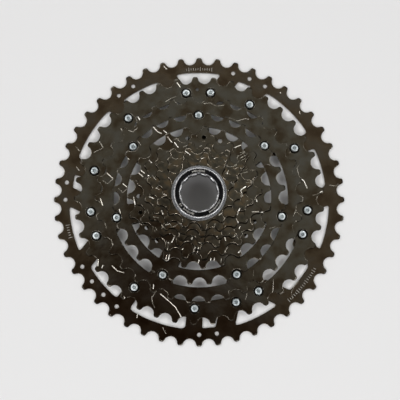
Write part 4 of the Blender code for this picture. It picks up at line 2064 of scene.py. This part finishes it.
    def add_lamps(self) -> None:
        """Soft boxes round the object, clear of the straight reflection to the camera."""
        for name, azimuth, height, power in (
            ("right_box", 8.0, 60.0, 2.0),
            ("right_back_box", 50.0, 60.0, 1.4),
            ("back_box", 92.0, 60.0, 1.3),
            ("left_back_box", 134.0, 60.0, 1.5),
            ("left_box", 174.0, 60.0, 2.0),
            ("left_front_box", 222.0, 58.0, 2.8),
            ("front_box", 268.0, 57.0, 3.1),
            ("right_front_box", 316.0, 58.0, 2.8),
        ):
            self.add_lamp(name, azimuth, height, power)

    def add_lamp(self, name: str, azimuth: float, height: float, power: float) -> None:
        """One soft box aimed at the object.

        Args:
            name: Name of the lamp.
            azimuth: Angle from +X, in degrees.
            height: Angle above the floor, in degrees.
            power: Power in watts.
        """
        data = bpy.data.lights.new(name, "AREA")
        data.energy = power
        data.size = self.lamp_size
        lamp = bpy.data.objects.new(name, data)
        bpy.context.scene.collection.objects.link(lamp)
        flat = polar(math.cos(math.radians(height)), azimuth)
        direction = Vector((flat.x, flat.y, math.sin(math.radians(height))))
        lamp.location = direction * self.lamp_distance
        lamp.rotation_euler = direction.to_track_quat("Z", "Y").to_euler()

    def add_camera(self) -> None:
        """The camera at the photograph's angle."""
        data = bpy.data.cameras.new("camera")
        data.lens = self.lens
        data.sensor_width = self.sensor_width
        camera = bpy.data.objects.new("camera", data)
        bpy.context.scene.collection.objects.link(camera)
        tilt = math.radians(90.0 - self.elevation)
        offset = Vector((0.0, -math.sin(tilt), math.cos(tilt))) * self.distance
        camera.location = Vector(self.aim) + offset
        camera.rotation_euler = (tilt, 0.0, 0.0)
        data.clip_start = 0.01
        bpy.context.scene.camera = camera


def spacer_rings() -> list[SpacerRing]:
    """The spacers and the washer.

    Returns:
        The rings, ready to build.
    """
    bore = BORE.major_radius + 0.4 * MM
    outer = bore + 3.5 * MM
    carried = (
        ("hub_spacer", Body.UNIT),
        ("spacer_behind_28t", Body.LOOSE_28),
        ("spacer_behind_23t", Body.LOOSE_23),
        ("spacer_behind_20t", Body.LOOSE_20),
        ("spacer_behind_17t", Body.LOOSE_17),
        ("spacer_behind_15t", Body.LOOSE_15),
    )
    rings = [SpacerRing(node, body, BLACK_ANODISE, Slot.SPACER, bore, outer) for node, body in carried]
    rings.append(
        SpacerRing(
            "lockring_washer",
            Body.WASHER,
            SATIN_ALLOY,
            Slot.LOCKRING,
            bore=15.7 * MM,
            outer=17.6 * MM,
            chamfer=0.15 * MM,
        )
    )
    return rings


def main() -> None:
    """Builds every piece in order, then the studio."""
    logging.basicConfig(level=logging.INFO, format="%(name)s: %(message)s")
    for sprocket in sprockets():
        sprocket.build()
    RivetSet("outer_rivet", STATIONS.outer_rivets(), 0.0).build()
    RivetSet("inner_rivet", STATIONS.inner_rivets(), PLATE_SPACING).build()
    for ring in spacer_rings():
        ring.build()
    Lockring().build()
    RimTicks().build()
    Studio().build()


if __name__ == "__main__":
    main()
